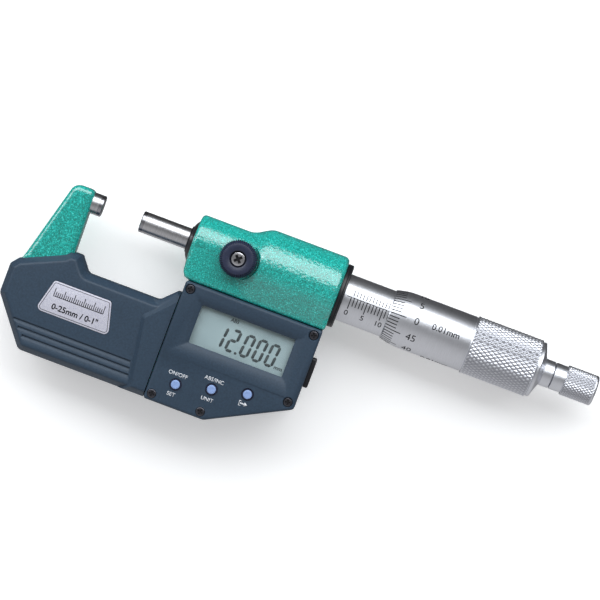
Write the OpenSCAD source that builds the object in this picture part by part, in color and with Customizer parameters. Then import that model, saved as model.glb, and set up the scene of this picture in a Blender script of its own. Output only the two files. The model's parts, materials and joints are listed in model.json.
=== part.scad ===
// Outside micrometer for 0 to 25 mm with an electronic display, lying on its back.
// X runs along the spindle from the anvil to the ratchet, Y points away from the bow,
// Z points out of the display. The origin is the centre of the anvil's measuring face.
// All lengths are in millimetres.

/* [Measuring line] */
// Distance between the measuring faces as drawn
reading = 12; // [0.5:0.5:24.5]
// Measuring range, from closed to fully open
travel = 25; // [20:1:30]
// Radius of the anvil and of the ground part of the spindle
spindle_r = 3.25; // [2.75:0.05:3.6]
// Length of the carbide tip on each measuring face
tip_len = 1.2; // [0.8:0.1:2]
// How far the anvil stands out of the arm
anvil_out = 3.5; // [2.5:0.1:4.5]
// Depth to which the anvil is pressed into the arm
anvil_deep = 5.5; // [3:0.5:6]
// Height of the spindle's thread over its ground part
thread_step = 0.5; // [0.3:0.1:0.6]
// Running clearance all round turning and sliding pieces
clearance = 0.05; // [0.03:0.01:0.08]

/* [Frame] */
// Depth of the throat under the spindle axis
throat_depth = 20; // [16:0.5:30]
// Height of the bow under the throat
bow_depth = 28.3; // [24:0.1:34]
// Reach of the bow to the left of the anvil face
bow_left = 19.8; // [17:0.1:26]
// Thickness of the frame casting
frame_t = 9; // [8:0.5:10]
// Height of the arm over the spindle axis
arm_top = 3.8; // [3.7:0.1:6]
// Width of the top of the arm
arm_w = 6.6; // [6:0.1:9]
// Radius of the barrel over the lock
barrel_small_r = 8.5; // [8:0.1:9]
// Radius of the barrel over the encoder
barrel_r = 11.5; // [11.2:0.1:13]
// Thickness of the web that joins the barrel to the housing
web_t = 15.4; // [12:0.2:17]

/* [Bow covers] */
// Wall of the bow covers round the edge of the frame
cover_wall = 1.6; // [1.2:0.1:2]
// Height of the front cover's face over the middle plane
cover_front = 7.5; // [7:0.1:8.5]
// Depth of the rear cover's face under the middle plane
cover_back = 7; // [6.6:0.1:9]
// Height of the front cover's raised end over its face
raise_h = 1.2; // [0.5:0.1:1.5]
// Length of the label plate along its lower edge
label_w = 22; // [18:0.5:23]
// Height of the label plate
label_h = 10; // [8:0.5:11]

/* [Display housing] */
// Width of the visible part of the display window
window_w = 29.3; // [24:0.1:36]
// Height of the visible part of the display window
window_h = 11.8; // [10:0.1:13]
// Housing wall to the left of the window
window_left = 7; // [6.5:0.1:9]
// Housing wall to the right of the window
window_right = 6.7; // [6.5:0.1:9]
// Housing wall over the window
window_top = 5.2; // [5:0.1:7]
// Height of the housing's front over the middle plane
housing_front = 10; // [9.8:0.1:10.6]
// Depth of the housing's back under the middle plane
housing_back = 11.5; // [11.5:0.1:13]
// Wall of the housing
housing_wall = 1.4; // [1.2:0.1:1.6]
// Width of the cut off lower right corner
cut_w = 24; // [18:0.5:26]
// Height of the cut off lower right corner
cut_h = 12.3; // [8:0.1:13]
// Radius of the button caps
button_r = 1.35; // [1.1:0.05:1.5]
// Distance between neighbouring buttons along the spindle axis
button_pitch = 10.45; // [8.5:0.05:10.6]
// Stroke of the buttons
button_stroke = 0.4; // [0.2:0.1:0.5]
// Radius of the housing screws
screw_r = 0.9; // [0.7:0.1:1]
// Radius of the button cell
cell_r = 5.8; // [4.8:0.1:6]
// Thickness of the button cell
cell_h = 5.4; // [3.5:0.1:5.6]
// Width of the data port
port_w = 7.6; // [6:0.1:9]
// Height of the data port
port_h = 3.5; // [2.5:0.1:3.6]

/* [Lock] */
// Radius of the lock knob
knob_r = 5.75; // [5:0.05:6]
// Height of the lock knob
knob_h = 4.5; // [3.5:0.1:6]
// Radius of the lock's stem
stem_r = 2; // [1.6:0.1:2.2]
// Number of serrations round the lock knob
knob_teeth = 30; // [20:1:40]

/* [Sleeve and thimble] */
// Radius of the graduated sleeve
sleeve_r = 7.2; // [7:0.05:7.6]
// Wall of the graduated sleeve
sleeve_wall = 0.75; // [0.6:0.05:0.9]
// Greatest radius of the thimble's graduated part
thimble_r = 8.5; // [8.2:0.05:9]
// Length of the thimble's bevelled edge
bevel_len = 6; // [3:0.5:8]
// Height of the knurl over the thimble
knurl_h = 0.45; // [0.2:0.05:0.6]
// Length of the knurled grip
knurl_len = 21.1; // [16:0.1:26]
// Length of the cone behind the grip
cone_len = 2.2; // [1.5:0.1:3]
// Radius of the black ring at the end of the barrel
end_ring_r = 9.8; // [9.4:0.1:10.4]
// Length of the black ring at the end of the barrel
end_ring_len = 1.8; // [1:0.1:3]

/* [Ratchet] */
// Radius of the ratchet's smooth collars
collar_r = 4.1; // [3.8:0.1:4.4]
// Length of the fixed collar
neck_len = 3.1; // [2:0.1:5]
// Length of the turning collar
collar_len = 3.6; // [3.4:0.1:5]
// Radius of the ratchet's grip
grip_r = 4.7; // [4.5:0.1:6]
// Length of the ratchet's grip
grip_len = 9.8; // [8.5:0.1:14]

/* [Hidden] */

// Smoothness of turned pieces and of small round features
turned_fn = 96;
small_fn = 40;
// Steps in a rounded corner, and the least radius that one keeps
arc_steps = 6;
least_r = 0.1;
// Gap between pieces that are assembled but don't run on each other, and a cut's overrun
fit = 0.1;
over = 1;
// Fillet between straight walls
soft = 0.8;
// Half the width of a cross-shaped screw recess, in head radii
cross_reach = 0.7;

// Stations along the spindle axis, from left to right
seal_len = 1.6;
seal_x = travel + 2;
barrel_x = seal_x + seal_len;
seam_x = barrel_x + 2.4;
housing_l = seam_x + fit;
housing_r = seam_x + window_left + window_w + window_right;
barrel_end = housing_r + 0.3;
end_ring_x = barrel_end + end_ring_len;
scale_zero = end_ring_x + 2.25;
thimble_x = scale_zero + reading;
sleeve_end = scale_zero + travel + 2.65;
nut_len = 4.4;
inner_end = sleeve_end + nut_len + 1.6;
thimble_bore = inner_end + 4 - scale_zero;
grip_x = thimble_x + travel + 0.6;
cone_x = grip_x + knurl_len;
thimble_end = cone_x + cone_len;
hub_x = thimble_x + thimble_bore;
seat_x = hub_x + 6;
neck_end = thimble_end + neck_len;
collar_x = neck_end + 0.25;
ratchet_x = collar_x + collar_len;
ratchet_end = ratchet_x + grip_len;

// Radii of what sits round the spindle
thread_r = spindle_r + thread_step;
seat_r = 3;
bolt_r = 1.2;
inner_r = sleeve_r - sleeve_wall;
thimble_in = sleeve_r + clearance + 0.02;
thimble_lip = 0.25;
cone_end_r = collar_r + 0.3;
cavity_r = barrel_r - 2;

// Barrel
lock_x = barrel_x + 14.6;
swell_x = barrel_x + 14.9;
swell_len = 7.5;
swell_steps = 8;
web_bottom = -11.1;
barrel_round = 1.2;
spot_z = barrel_small_r;
spot_r = knob_r + 0.6;

// Encoder, seated against the floor of the barrel's cavity
cavity_x = barrel_end - 18;
stator_t = 1.2;
rotor_x = cavity_x + stator_t + 0.3;
rotor_t = 0.8;
bush_len = 5;
bush_x = rotor_x + rotor_t;
bush_r = 5;
key_x = bush_x + 1.4;
key_len = 1.6;
key_w = 1.1;
key_depth = 0.8;
wave_x = bush_x + bush_len;
wave_len = 1.5;
flange_x = wave_x + wave_len + 0.3;
nut_x = inner_end - 18;
nut_end = inner_end - 4;
disc_r = cavity_r - 0.5;
flex_t = 0.2;
flex_z = [0.5, 4.5];

// Bow, covers and the limb of the frame inside the housing
half_t = frame_t / 2;
throat_y = -throat_depth;
bottom_y = throat_y - bow_depth;
left_x = -bow_left;
cover_r = seam_x - fit;
bow_inset = cover_wall + fit;
lip_h = 4.4;
lip_run = 3.4;
lip_x = 2.6;
heel_w = 10.9;
heel_h = 14.1;
shoulder = 1.9;
shoulder_h = 5;
cover_path = [
    [left_x + shoulder, throat_y - 2.7, 0.3],
    [left_x, throat_y - shoulder_h, 1.5],
    [left_x, bottom_y + heel_h, 2],
    [left_x + heel_w, bottom_y, 2.5],
    [cover_r, bottom_y, 0.3],
    [cover_r, throat_y + lip_h, 0.5],
    [cover_r - 1.3, throat_y + lip_h, 0.6],
    [cover_r - 1.3 - lip_h, throat_y, 2.2],
    [lip_x, throat_y, 2],
    [lip_x - lip_run, throat_y + lip_h, 0.8],
    [-anvil_out - 0.3, throat_y + lip_h, 0.3],
    [-anvil_out - 1.8, throat_y + 3, 0.8]
];

// Housing
housing_top = web_bottom - 0.15;
split = 0.3;
gasket_stop = 3.4;
gasket_gap = 0.5;
ceiling = housing_front - 1.6;
floor_z = -housing_back + housing_wall;
crease_y = bottom_y + 15.1;
slope_drop = 0.7;
housing_path = [
    [housing_l, housing_top, soft],
    [housing_l, bottom_y, soft],
    [housing_r - cut_w, bottom_y, 3],
    [housing_r, bottom_y + cut_h, 1.6],
    [housing_r, housing_top, soft]
];
corner_in = 2.1;
screw_at = [
    [seam_x + corner_in, housing_top - corner_in],
    [housing_r - corner_in, housing_top - corner_in],
    [housing_r - corner_in - 0.3, bottom_y + cut_h + 1.5],
    [seam_x + corner_in, bottom_y + corner_in],
    [housing_r - cut_w - 1.6, bottom_y + corner_in]
];
head_r = screw_r + 0.45;
head_z = ceiling + 0.5;
head_h = 0.6;
boss_r = screw_r + 1.4;
screw_tip = 8;

// Window, display and circuit board, stacked under the ceiling
window_x = seam_x + window_left;
window_y = housing_top - window_top - window_h;
window_t = 1;
window_rim = 1;
bevel_side = 2;
bevel_end = 1.5;
lcd_rim = 1.3;
lcd_t = 1.1;
lcd_top = ceiling - window_t - 0.2;
holder_wall = 1;
board_t = 0.8;
board_z = 4.6;
board_top = board_z + board_t;
bed_z = 3.8;
strip_w = 1.8;
processor_w = 6;
processor_t = 1;

// Buttons: the first one's centre, the step to the next one, and the mat under them
button_x = seam_x + 7.8;
button_y = bottom_y + 7.1;
button_rise = 2.35;
button_top = housing_front + 0.3;
button_foot = 6.6;
button_rim = 0.6;
mat_r = 3;
mat_t = 0.4;

// Battery
cell_x = housing_r - 9.5;
cell_y = housing_top - 13.2;
cell_z = floor_z + 0.05;
cap_r = cell_r + 0.7;
nest_wall = 1;
nest_r = cell_r + fit + nest_wall;
nest_z = cell_z + cell_h;
seal_h = 0.5;
coin_w = 1.6;
contact_t = 0.2;
contact_w = 3;
limb_r = cell_x - nest_r - 2.5;

// Data port
port_y = cell_y;
port_z = 0.9;
port_rim = 0.8;
port_cap_t = 1.5;
port_plug = 1.3;
port_deep = 2;
socket_x = housing_r - port_deep - 5.4;
socket_wall = 0.7;

// Screws that hold the bow covers, put in from the back
cover_screw_r = 1;
cover_head_r = 1.9;
cover_head_h = 1.2;
cover_screw_tip = 6.3;
cover_screw_at = [
    [left_x + 6.8, bottom_y + 18],
    [lip_x + 5.4, bottom_y + 8],
    [cover_r - 4.4, bottom_y + 8]
];

// Label plate and the three ribs under it
label_x = left_x + 23.4;
label_y = throat_y - 10;
label_t = 0.45;
label_in = 0.3;
rib_h = 0.9;
rib_step = 2;
rib_deep = 0.5;
rib_y = bottom_y + 8.9;
ramp_top = 8;
ramp_foot = 4.5;

function flat(p) = [p[0], p[1]];
function unit(v) = v / norm(v);

// Arc that rounds the corner q between its neighbours p and s
function corner(p, q, s) =
    let(
        a = unit(flat(p) - flat(q)),
        b = unit(flat(s) - flat(q)),
        half = acos(a * b) / 2,
        c = flat(q) + unit(a + b) * q[2] / sin(half),
        from = flat(q) + a * q[2] / tan(half) - c,
        to = flat(q) + b * q[2] / tan(half) - c,
        start = atan2(from[1], from[0]),
        sweep = (atan2(to[1], to[0]) - start + 540) % 360 - 180
    )
    [for (i = [0:arc_steps])
        let(t = start + sweep * i / arc_steps)
        c + q[2] * [cos(t), sin(t)]];

// Outline with every corner [x, y, r] of a closed path rounded
function rounded(path) =
    let(n = len(path))
    [for (i = [0:n - 1]) each corner(path[(i + n - 1) % n], path[i], path[(i + 1) % n])];

// Counter-clockwise path with every side moved outwards by d
function grown(path, d) =
    let(n = len(path))
    [for (i = [0:n - 1])
        let(
            q = path[i],
            u = unit(flat(q) - flat(path[(i + n - 1) % n])),
            v = unit(flat(path[(i + 1) % n]) - flat(q)),
            side = [u[1] + v[1], -u[0] - v[0]] / (1 + u * v),
            bend = u[0] * v[1] - u[1] * v[0] > 0 ? d : -d
        )
        [q[0] + d * side[0], q[1] + d * side[1], max(least_r, q[2] + bend)]];

// Prism on a rounded path between two heights
module slab(path, z0, z1)
    translate([0, 0, z0])
        linear_extrude(z1 - z0)
            polygon(rounded(path));

// Box between two opposite corners
module block(low, high)
    translate(low)
        cube(high - low);

// Solid of revolution about the spindle axis, from [x, r] points
module turned(points)
    rotate([0, 90, 0])
        rotate_extrude($fn = turned_fn)
            polygon([for (p = points) [p[1], p[0]]]);

// Tube or rod along the spindle axis
module tube_x(x0, x1, outer, inner = 0)
    turned([[x0, inner], [x1, inner], [x1, outer], [x0, outer]]);

// Rod parallel to Z through the point at
module rod_z(at, z0, z1, r)
    translate([at[0], at[1], z0])
        cylinder(h = z1 - z0, r = r, $fn = small_fn);

// Ring parallel to Z round the point at
module ring_z(at, z0, z1, outer, inner)
    difference() {
        rod_z(at, z0, z1, outer);
        rod_z(at, z0 - over, z1 + over, inner);
    }

// Cross-shaped screwdriver recess that reaches down from z
module cross_recess(at, z, arm, deep)
    for (turn = [0, 90])
        translate([at[0], at[1], z])
            rotate(turn)
                block([-arm, -arm / 4, -deep], [arm, arm / 4, over]);

// Flat part of the casting: the arm, the bow inside its covers, and the limb inside the housing
inner = grown(cover_path, -bow_inset);
flat_path = [
    [-anvil_out, arm_top, 0.8],
    [-anvil_out - arm_w, arm_top, 1.4],
    [left_x + 2.6, throat_y - 2.8, 2],
    inner[1],
    inner[2],
    inner[3],
    [seam_x - 2, bottom_y + bow_inset, 1],
    [seam_x + 0.6, bottom_y + 4, 1],
    [limb_r - 10, bottom_y + 4, 2],
    [limb_r, bottom_y + cut_h - 1, 2],
    [limb_r, web_bottom + 2, 0.5],
    [housing_l + 1.6, web_bottom + 2, 0.5],
    [housing_l + 1.6, throat_y + 4, 1.5],
    inner[7],
    inner[8],
    [-anvil_out + 0.4, throat_y + lip_h, 0.5]
];

// The flat part, grown by g all round
module bow_block(g)
    slab(grown(flat_path, g), -half_t - g, half_t + g);

module barrel_body() {
    turned(concat(
        [[barrel_x, 0]],
        [for (i = [0:arc_steps]) let(a = 90 * i / arc_steps) [
            barrel_x + barrel_round * (1 - cos(a)),
            barrel_small_r - barrel_round * (1 - sin(a))
        ]],
        [for (i = [0:swell_steps]) let(t = i / swell_steps) [
            swell_x + swell_len * t,
            barrel_small_r + (barrel_r - barrel_small_r) * (1 - cos(180 * t)) / 2
        ]],
        [for (i = [0:arc_steps]) let(a = 90 * i / arc_steps) [
            barrel_end - soft * (1 - sin(a)),
            barrel_r - soft * (1 - cos(a))
        ]],
        [[barrel_end, 0]]
    ));
    slab([
        [barrel_x + 0.4, 2, 1],
        [barrel_x + 0.4, web_bottom, 3],
        [barrel_end, web_bottom, 0.6],
        [barrel_end, 2, 1]
    ], -web_t / 2, web_t / 2);
}

module frame()
    color("mediumseagreen")
        difference() {
            union() {
                bow_block(0);
                difference() {
                    barrel_body();
                    block(
                        [seam_x, -2 * barrel_r, -barrel_r - over],
                        [barrel_end + over, web_bottom, barrel_r + over]
                    );
                }
            }
            // bores for the anvil, the spindle, the encoder and the lock
            tube_x(-anvil_out - anvil_deep, 0, spindle_r);
            tube_x(barrel_x - over, cavity_x + over, spindle_r + clearance);
            tube_x(cavity_x, barrel_end + over, cavity_r);
            rod_z([lock_x, 0], 0, barrel_r + over, stem_r + clearance);
            rod_z([lock_x, 0], spot_z, barrel_r + over, spot_r);
            // bed for the circuit board, and the slot for the encoder's ribbon
            block([housing_l + 1, bottom_y, bed_z], [limb_r + over, housing_top, half_t + over]);
            block(
                [cavity_x, web_bottom - over, flex_z[0] - fit],
                [cavity_x + 3 * flex_t, 0, flex_z[1] + 3 * fit]
            );
            // clearance for the screws of the covers and of the housing
            for (at = cover_screw_at)
                rod_z(at, -half_t - over, half_t + over, cover_screw_r + fit);
            for (at = screw_at)
                rod_z(at, -half_t - over, half_t + over, screw_r + fit);
        }

module anvil()
    color("silver")
        tube_x(-anvil_out - anvil_deep, -tip_len, spindle_r);

module anvil_tip()
    color("dimgray")
        turned([[-tip_len, 0], [-tip_len, spindle_r], [-0.2, spindle_r], [0, spindle_r - 0.2], [0, 0]]);

// Rod with the encoder's keyway, the thread and the seat of the thimble
module spindle()
    color("silver")
        difference() {
            turned([
                [reading + tip_len, 0], [reading + tip_len, spindle_r],
                [nut_x - travel + reading - 1.4, spindle_r], [nut_x - travel + reading - 1, thread_r],
                [hub_x, thread_r], [hub_x, seat_r], [seat_x, seat_r], [seat_x, 0]
            ]);
            block(
                [key_x - travel + reading - 1, spindle_r - key_depth, -key_w / 2 - clearance],
                [key_x + key_len + reading + 1, thread_r + over, key_w / 2 + clearance]
            );
            tube_x(seat_x - bolt_deep, seat_x + over, bolt_r);
        }

module spindle_tip()
    color("dimgray")
        turned([
            [reading, 0], [reading, spindle_r - 0.2], [reading + 0.2, spindle_r],
            [reading + tip_len, spindle_r], [reading + tip_len, 0]
        ]);

// Wiper that keeps swarf and coolant out of the barrel
module spindle_seal()
    color([0.1, 0.1, 0.12])
        turned([
            [seal_x, spindle_r + clearance], [seal_x, spindle_r + 0.6],
            [seal_x + 0.5, spindle_r + 1.4], [barrel_x, barrel_small_r - barrel_round - 1],
            [barrel_x, spindle_r + clearance]
        ]);

module barrel_end_ring()
    color([0.1, 0.1, 0.12])
        turned([
            [barrel_end, sleeve_r], [barrel_end, end_ring_r], [end_ring_x - 0.4, end_ring_r],
            [end_ring_x, end_ring_r - 0.4], [end_ring_x, sleeve_r]
        ]);

// Threaded sleeve pressed into the barrel, with the spindle's nut at its far end
module inner_sleeve()
    color("gainsboro")
        turned([
            [flange_x, thread_r + 0.35], [flange_x, cavity_r], [barrel_end, cavity_r], [barrel_end, inner_r],
            [sleeve_end, inner_r], [sleeve_end, inner_r - 0.6], [inner_end, inner_r - 0.6],
            [inner_end, thread_r + 0.35], [nut_end, thread_r + 0.35], [nut_end, thread_r + clearance],
            [nut_x, thread_r + clearance], [nut_x, thread_r + 0.35]
        ]);

module adjusting_nut()
    color("goldenrod")
        tube_x(sleeve_end + 0.8, sleeve_end + 0.8 + nut_len, inner_r + 0.4, inner_r - 0.6);

module sleeve()
    color("lightgray")
        tube_x(barrel_end, sleeve_end, sleeve_r, inner_r);

// Graduated drum, which hangs over the sleeve and carries the grip
module thimble()
    color("whitesmoke")
        turned(concat(
            [[thimble_x, thimble_in]],
            [for (i = [0:swell_steps]) let(t = i / swell_steps) [
                thimble_x + bevel_len * t,
                thimble_in + thimble_lip + (thimble_r - thimble_in - thimble_lip) * sin(90 * t)
            ]],
            [
                [grip_x, thimble_r], [grip_x + 0.2, thimble_r + knurl_h], [cone_x - 0.5, thimble_r + knurl_h],
                [cone_x, thimble_r], [thimble_end, cone_end_r], [thimble_end, seat_r + 0.2],
                [seat_x, seat_r + 0.2], [seat_x, seat_r], [hub_x, seat_r], [hub_x, thimble_in]
            ]
        ));

// Fixed half of the ratchet, screwed into the thimble's hub
module ratchet_neck()
    color("lightgray")
        turned([
            [seat_x, bolt_r + fit], [seat_x, seat_r + 0.2], [thimble_end, seat_r + 0.2],
            [thimble_end, collar_r], [neck_end, collar_r], [neck_end, bolt_r + fit]
        ]);

ratchet_in = 3;
teeth = 12;
tooth_tip = 0.3;
tooth_root = 0.7;
disc_t = 1.9;
bolt_hole_r = 2.6;
bolt_head_r = 2.4;
bolt_head_x = ratchet_end - 2.3;
bolt_deep = 5;
bolt_slot_w = 0.6;

// Toothed plate that the spring presses against the neck
module ratchet_disc()
    color("darkgray")
        translate([neck_end, 0, 0])
            rotate([0, 90, 0])
                difference() {
                    linear_extrude(disc_t)
                        polygon([for (i = [0:2 * teeth - 1])
                            let(a = 180 * i / teeth, r = ratchet_in - (i % 2 == 0 ? tooth_tip : tooth_root))
                            r * [cos(a), sin(a)]]);
                    translate([0, 0, -over])
                        cylinder(h = disc_t + 2 * over, r = bolt_r + fit, $fn = small_fn);
                }

// Coil spring between the toothed plate and the floor of the knob
spring_x = neck_end + disc_t + 0.1;
spring_end = ratchet_x + 3.4;
wire_r = 0.3;
coil_r = ratchet_in - wire_r - 0.4;
coils = 4;
coil_steps = 16;
wire_sides = 6;
module ratchet_spring() {
    rings = coils * coil_steps;
    rise = (spring_end - spring_x - 2 * wire_r) / rings;
    color("silver")
        polyhedron(
            points = [for (i = [0:rings], k = [0:wire_sides - 1])
                let(a = 360 * i / coil_steps, b = 360 * k / wire_sides, r = coil_r + wire_r * cos(b))
                [spring_x + wire_r + rise * i + wire_r * sin(b), r * cos(a), r * sin(a)]],
            faces = concat(
                [[for (k = [0:wire_sides - 1]) k]],
                [[for (k = [0:wire_sides - 1]) rings * wire_sides + wire_sides - 1 - k]],
                [for (i = [0:rings - 1], k = [0:wire_sides - 1])
                    let(a = i * wire_sides + k, b = i * wire_sides + (k + 1) % wire_sides)
                    [b, a, a + wire_sides, b + wire_sides]]
            )
        );
}

module ratchet_knob()
    color("lightgray")
        turned(concat(
            [
                [collar_x, ratchet_in], [collar_x, collar_r], [ratchet_x, collar_r], [ratchet_x, grip_r]
            ],
            [for (i = [0:arc_steps]) let(a = 90 * i / arc_steps) [
                ratchet_end - soft * (1 - sin(a)),
                grip_r - soft * (1 - cos(a))
            ]],
            [
                [ratchet_end, bolt_hole_r],
                [bolt_head_x - 0.2, bolt_hole_r], [bolt_head_x - 0.2, bolt_r + 0.2],
                [spring_end + 0.3, bolt_r + 0.2], [spring_end + 0.3, ratchet_in]
            ]
        ));

// Bolt that holds the ratchet and the thimble on the spindle
module ratchet_screw()
    color("dimgray")
        difference() {
            turned([
                [seat_x - bolt_deep, 0], [seat_x - bolt_deep, bolt_r],
                [bolt_head_x, bolt_r], [bolt_head_x, bolt_head_r],
                [ratchet_end - 0.3, bolt_head_r], [ratchet_end - 0.3, 0]
            ]);
            block(
                [ratchet_end - 1, -bolt_slot_w / 2, -ratchet_in],
                [ratchet_end + over, bolt_slot_w / 2, ratchet_in]
            );
        }

// Lock: knob and stem turn together and press the pad on the spindle
knob_z = spot_z + 0.4;
knob_top = knob_z + knob_h;
recess_r = 2.5;
recess_z = knob_top - 1.8;
pad_z = spindle_r + fit;
pad_h = 1.2;
lock_head_r = 2.1;
lock_head_h = 1;
lock_thread_r = 1;
lock_thread_len = 4;
cross_deep = 0.6;
serration = 0.25;
module lock_knob()
    color("midnightblue")
        difference() {
            translate([lock_x, 0, knob_z])
                linear_extrude(knob_h)
                    polygon([for (i = [0:4 * knob_teeth - 1])
                        let(a = 90 * i / knob_teeth, r = knob_r - (i % 4 < 2 ? 0 : serration))
                        r * [cos(a), sin(a)]]);
            rod_z([lock_x, 0], knob_z - over, knob_top + over, stem_r);
            rod_z([lock_x, 0], recess_z, knob_top + over, recess_r);
        }

module lock_screw()
    color("gainsboro")
        difference() {
            union() {
                rod_z([lock_x, 0], recess_z, recess_z + lock_head_h, lock_head_r);
                rod_z([lock_x, 0], recess_z - lock_thread_len, recess_z, lock_thread_r);
            }
            cross_recess([lock_x, 0], recess_z + lock_head_h, lock_head_r * cross_reach, cross_deep);
        }

module lock_stem()
    color("silver")
        ring_z([lock_x, 0], pad_z + pad_h + fit, recess_z, stem_r, lock_thread_r);

module lock_pad()
    color("goldenrod")
        rod_z([lock_x, 0], pad_z, pad_z + pad_h, stem_r);

module encoder_stator()
    color("darkgreen")
        tube_x(cavity_x, cavity_x + stator_t, disc_r, spindle_r + 0.6);

// Ribbon from the stator to the circuit board
module encoder_flex()
    color("orange")
        block(
            [cavity_x + flex_t, housing_top - housing_wall - 1.5, flex_z[0]],
            [cavity_x + 2 * flex_t, -sqrt(disc_r * disc_r - flex_z[0] * flex_z[0]) - fit, flex_z[1]]
        );

module encoder_rotor()
    color("seagreen")
        tube_x(rotor_x, bush_x, disc_r, spindle_r + clearance);

// Hub that carries the rotor and slides along the spindle's keyway
module rotor_bush()
    color("goldenrod")
        difference() {
            tube_x(bush_x, wave_x, bush_r, spindle_r + clearance);
            block([key_x, 0, -key_w / 2], [key_x + key_len, bush_r + over, key_w / 2]);
        }

module rotor_key()
    color("silver")
        block(
            [key_x, spindle_r - key_depth + clearance, -key_w / 2],
            [key_x + key_len, bush_r - 0.2, key_w / 2]
        );

// Wavy washer that loads the rotor's hub
waves = 3;
wave_steps = 48;
wave_t = 0.3;
module wave_spring()
    color("silver")
        polyhedron(
            points = [for (i = [0:wave_steps - 1])
                let(a = 360 * i / wave_steps, x = wave_x + (wave_len - wave_t) * (1 - cos(waves * a)) / 2)
                for (c = [[0, bush_r - 1.2], [0, bush_r], [wave_t, bush_r], [wave_t, bush_r - 1.2]])
                    [x + c[0], c[1] * cos(a), c[1] * sin(a)]],
            faces = [for (i = [0:wave_steps - 1], k = [0:3])
                let(a = 4 * i, b = 4 * ((i + 1) % wave_steps), m = (k + 1) % 4)
                [a + k, a + m, b + m, b + k]]
        );

// Raised end of the front cover, next to the housing
raise_path = [
    [cover_r - ramp_top, throat_y - 5.8, 0.5],
    [cover_r - ramp_foot, bottom_y + 0.6, 0.3],
    [cover_r - 0.15, bottom_y + 0.6, 0.2],
    [cover_r - 0.15, throat_y + 2.4, 0.2],
    [cover_r - 1, throat_y + 2.4, 0.3]
];

label_path = [
    [label_x - label_w / 2 - 1, label_y - label_h / 2, 1.4],
    [label_x + label_w / 2 + 1, label_y - label_h / 2, 1.4],
    [label_x + label_w / 2 - 1.6, label_y + label_h / 2, 1],
    [label_x - label_w / 2 + 1.6, label_y + label_h / 2, 1]
];

module front_cover()
    color("slategray")
        difference() {
            union() {
                slab(cover_path, 0, cover_front);
                slab(raise_path, 0, cover_front + raise_h);
            }
            bow_block(fit);
            slab(label_path, cover_front - label_in, cover_front + over);
            for (i = [0:2])
                block(
                    [left_x + 6.8 + 2 * i, rib_y - rib_step * i - rib_h, cover_front - rib_deep],
                    [cover_r - 7 + 0.4 * i, rib_y - rib_step * i, cover_front + over]
                );
            for (at = cover_screw_at)
                rod_z(at, 0, cover_screw_tip + fit, cover_screw_r);
        }

module rear_cover()
    color("slategray")
        difference() {
            slab(cover_path, -cover_back, 0);
            bow_block(fit);
            for (at = cover_screw_at) {
                rod_z(at, -cover_back - over, 0, cover_screw_r + fit);
                rod_z(at, -cover_back - over, -cover_back + cover_head_h, cover_head_r + fit);
            }
        }

module cover_screws()
    color([0.1, 0.1, 0.12])
        for (at = cover_screw_at)
            difference() {
                union() {
                    rod_z(at, -cover_back + cover_head_h, cover_screw_tip, cover_screw_r);
                    rod_z(at, -cover_back + 0.2, -cover_back + cover_head_h, cover_head_r);
                }
                translate([0, 0, -2 * cover_back])
                    cross_recess(at, cover_back + 0.8, cover_head_r * cross_reach, 0);
            }

module label_plate()
    color("lavender")
        slab(grown(label_path, -fit / 2), cover_front - label_in, cover_front - label_in + label_t);

// Outline of the front housing from the side: flat over the crease, sloping under it
module housing_side()
    translate([housing_l - over, 0, 0])
        rotate([90, 0, 90])
            linear_extrude(housing_r - housing_l + 2 * over)
                polygon([
                    [housing_top + over, split],
                    [housing_top + over, housing_front - soft - over],
                    [housing_top - soft, housing_front],
                    [crease_y, housing_front],
                    [bottom_y + soft, housing_front - slope_drop],
                    [bottom_y - over, housing_front - slope_drop - soft - over],
                    [bottom_y - over, split]
                ]);

function button_at(i) = [button_x + button_pitch * i, button_y + button_rise * i];

module display_housing()
    color("slategray")
        difference() {
            intersection() {
                slab(housing_path, split, housing_front);
                housing_side();
            }
            difference() {
                slab(grown(housing_path, -housing_wall), split - over, ceiling);
                for (at = screw_at)
                    rod_z(at, 0, ceiling + over, boss_r);
            }
            bow_block(fit);
            // window with a sloping surround
            block([window_x, window_y, 0], [window_x + window_w, window_y + window_h, housing_front + over]);
            hull() {
                block(
                    [window_x, window_y, ceiling + 0.5],
                    [window_x + window_w, window_y + window_h, ceiling + 0.6]
                );
                block(
                    [window_x - bevel_side, window_y - bevel_end, housing_front],
                    [window_x + window_w + bevel_side, window_y + window_h + bevel_end, housing_front + 0.1]
                );
            }
            for (i = [0:2]) {
                rod_z(button_at(i), 0, housing_front + over, button_r + fit);
                rod_z(button_at(i), ceiling + 0.9, housing_front + over, button_r + button_rim);
            }
            for (at = screw_at) {
                rod_z(at, 0, housing_front + over, screw_r + fit);
                rod_z(at, head_z, housing_front + over, head_r + fit);
            }
            port_hole();
            flex_hole();
        }

module port_hole()
    block(
        [housing_r - port_deep, port_y - port_w / 2, port_z],
        [housing_r + over, port_y + port_w / 2, port_z + port_h]
    );

module flex_hole()
    block(
        [cavity_x, housing_top - housing_wall - over, -over],
        [cavity_x + 3 * flex_t, housing_top + over, flex_z[1] + fit]
    );

module rear_housing()
    color("slategray")
        difference() {
            slab(housing_path, -housing_back, -split);
            difference() {
                slab(grown(housing_path, -housing_wall), floor_z, over);
                for (at = screw_at)
                    rod_z(at, floor_z - over, over, boss_r);
                rod_z([cell_x, cell_y], floor_z - over, nest_z, nest_r);
            }
            bow_block(fit);
            // nest of the button cell with its cap, and a slot for each contact
            rod_z([cell_x, cell_y], floor_z, over, cell_r + fit);
            rod_z([cell_x, cell_y], -housing_back - over, cell_z + seal_h, cap_r + clearance);
            block(
                [cell_x - contact_w / 2 - fit, cell_y - nest_r - over, cell_z + over],
                [cell_x + contact_w / 2 + fit, cell_y, over]
            );
            for (at = screw_at)
                rod_z(at, -screw_tip - fit, over, screw_r);
        }

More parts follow.
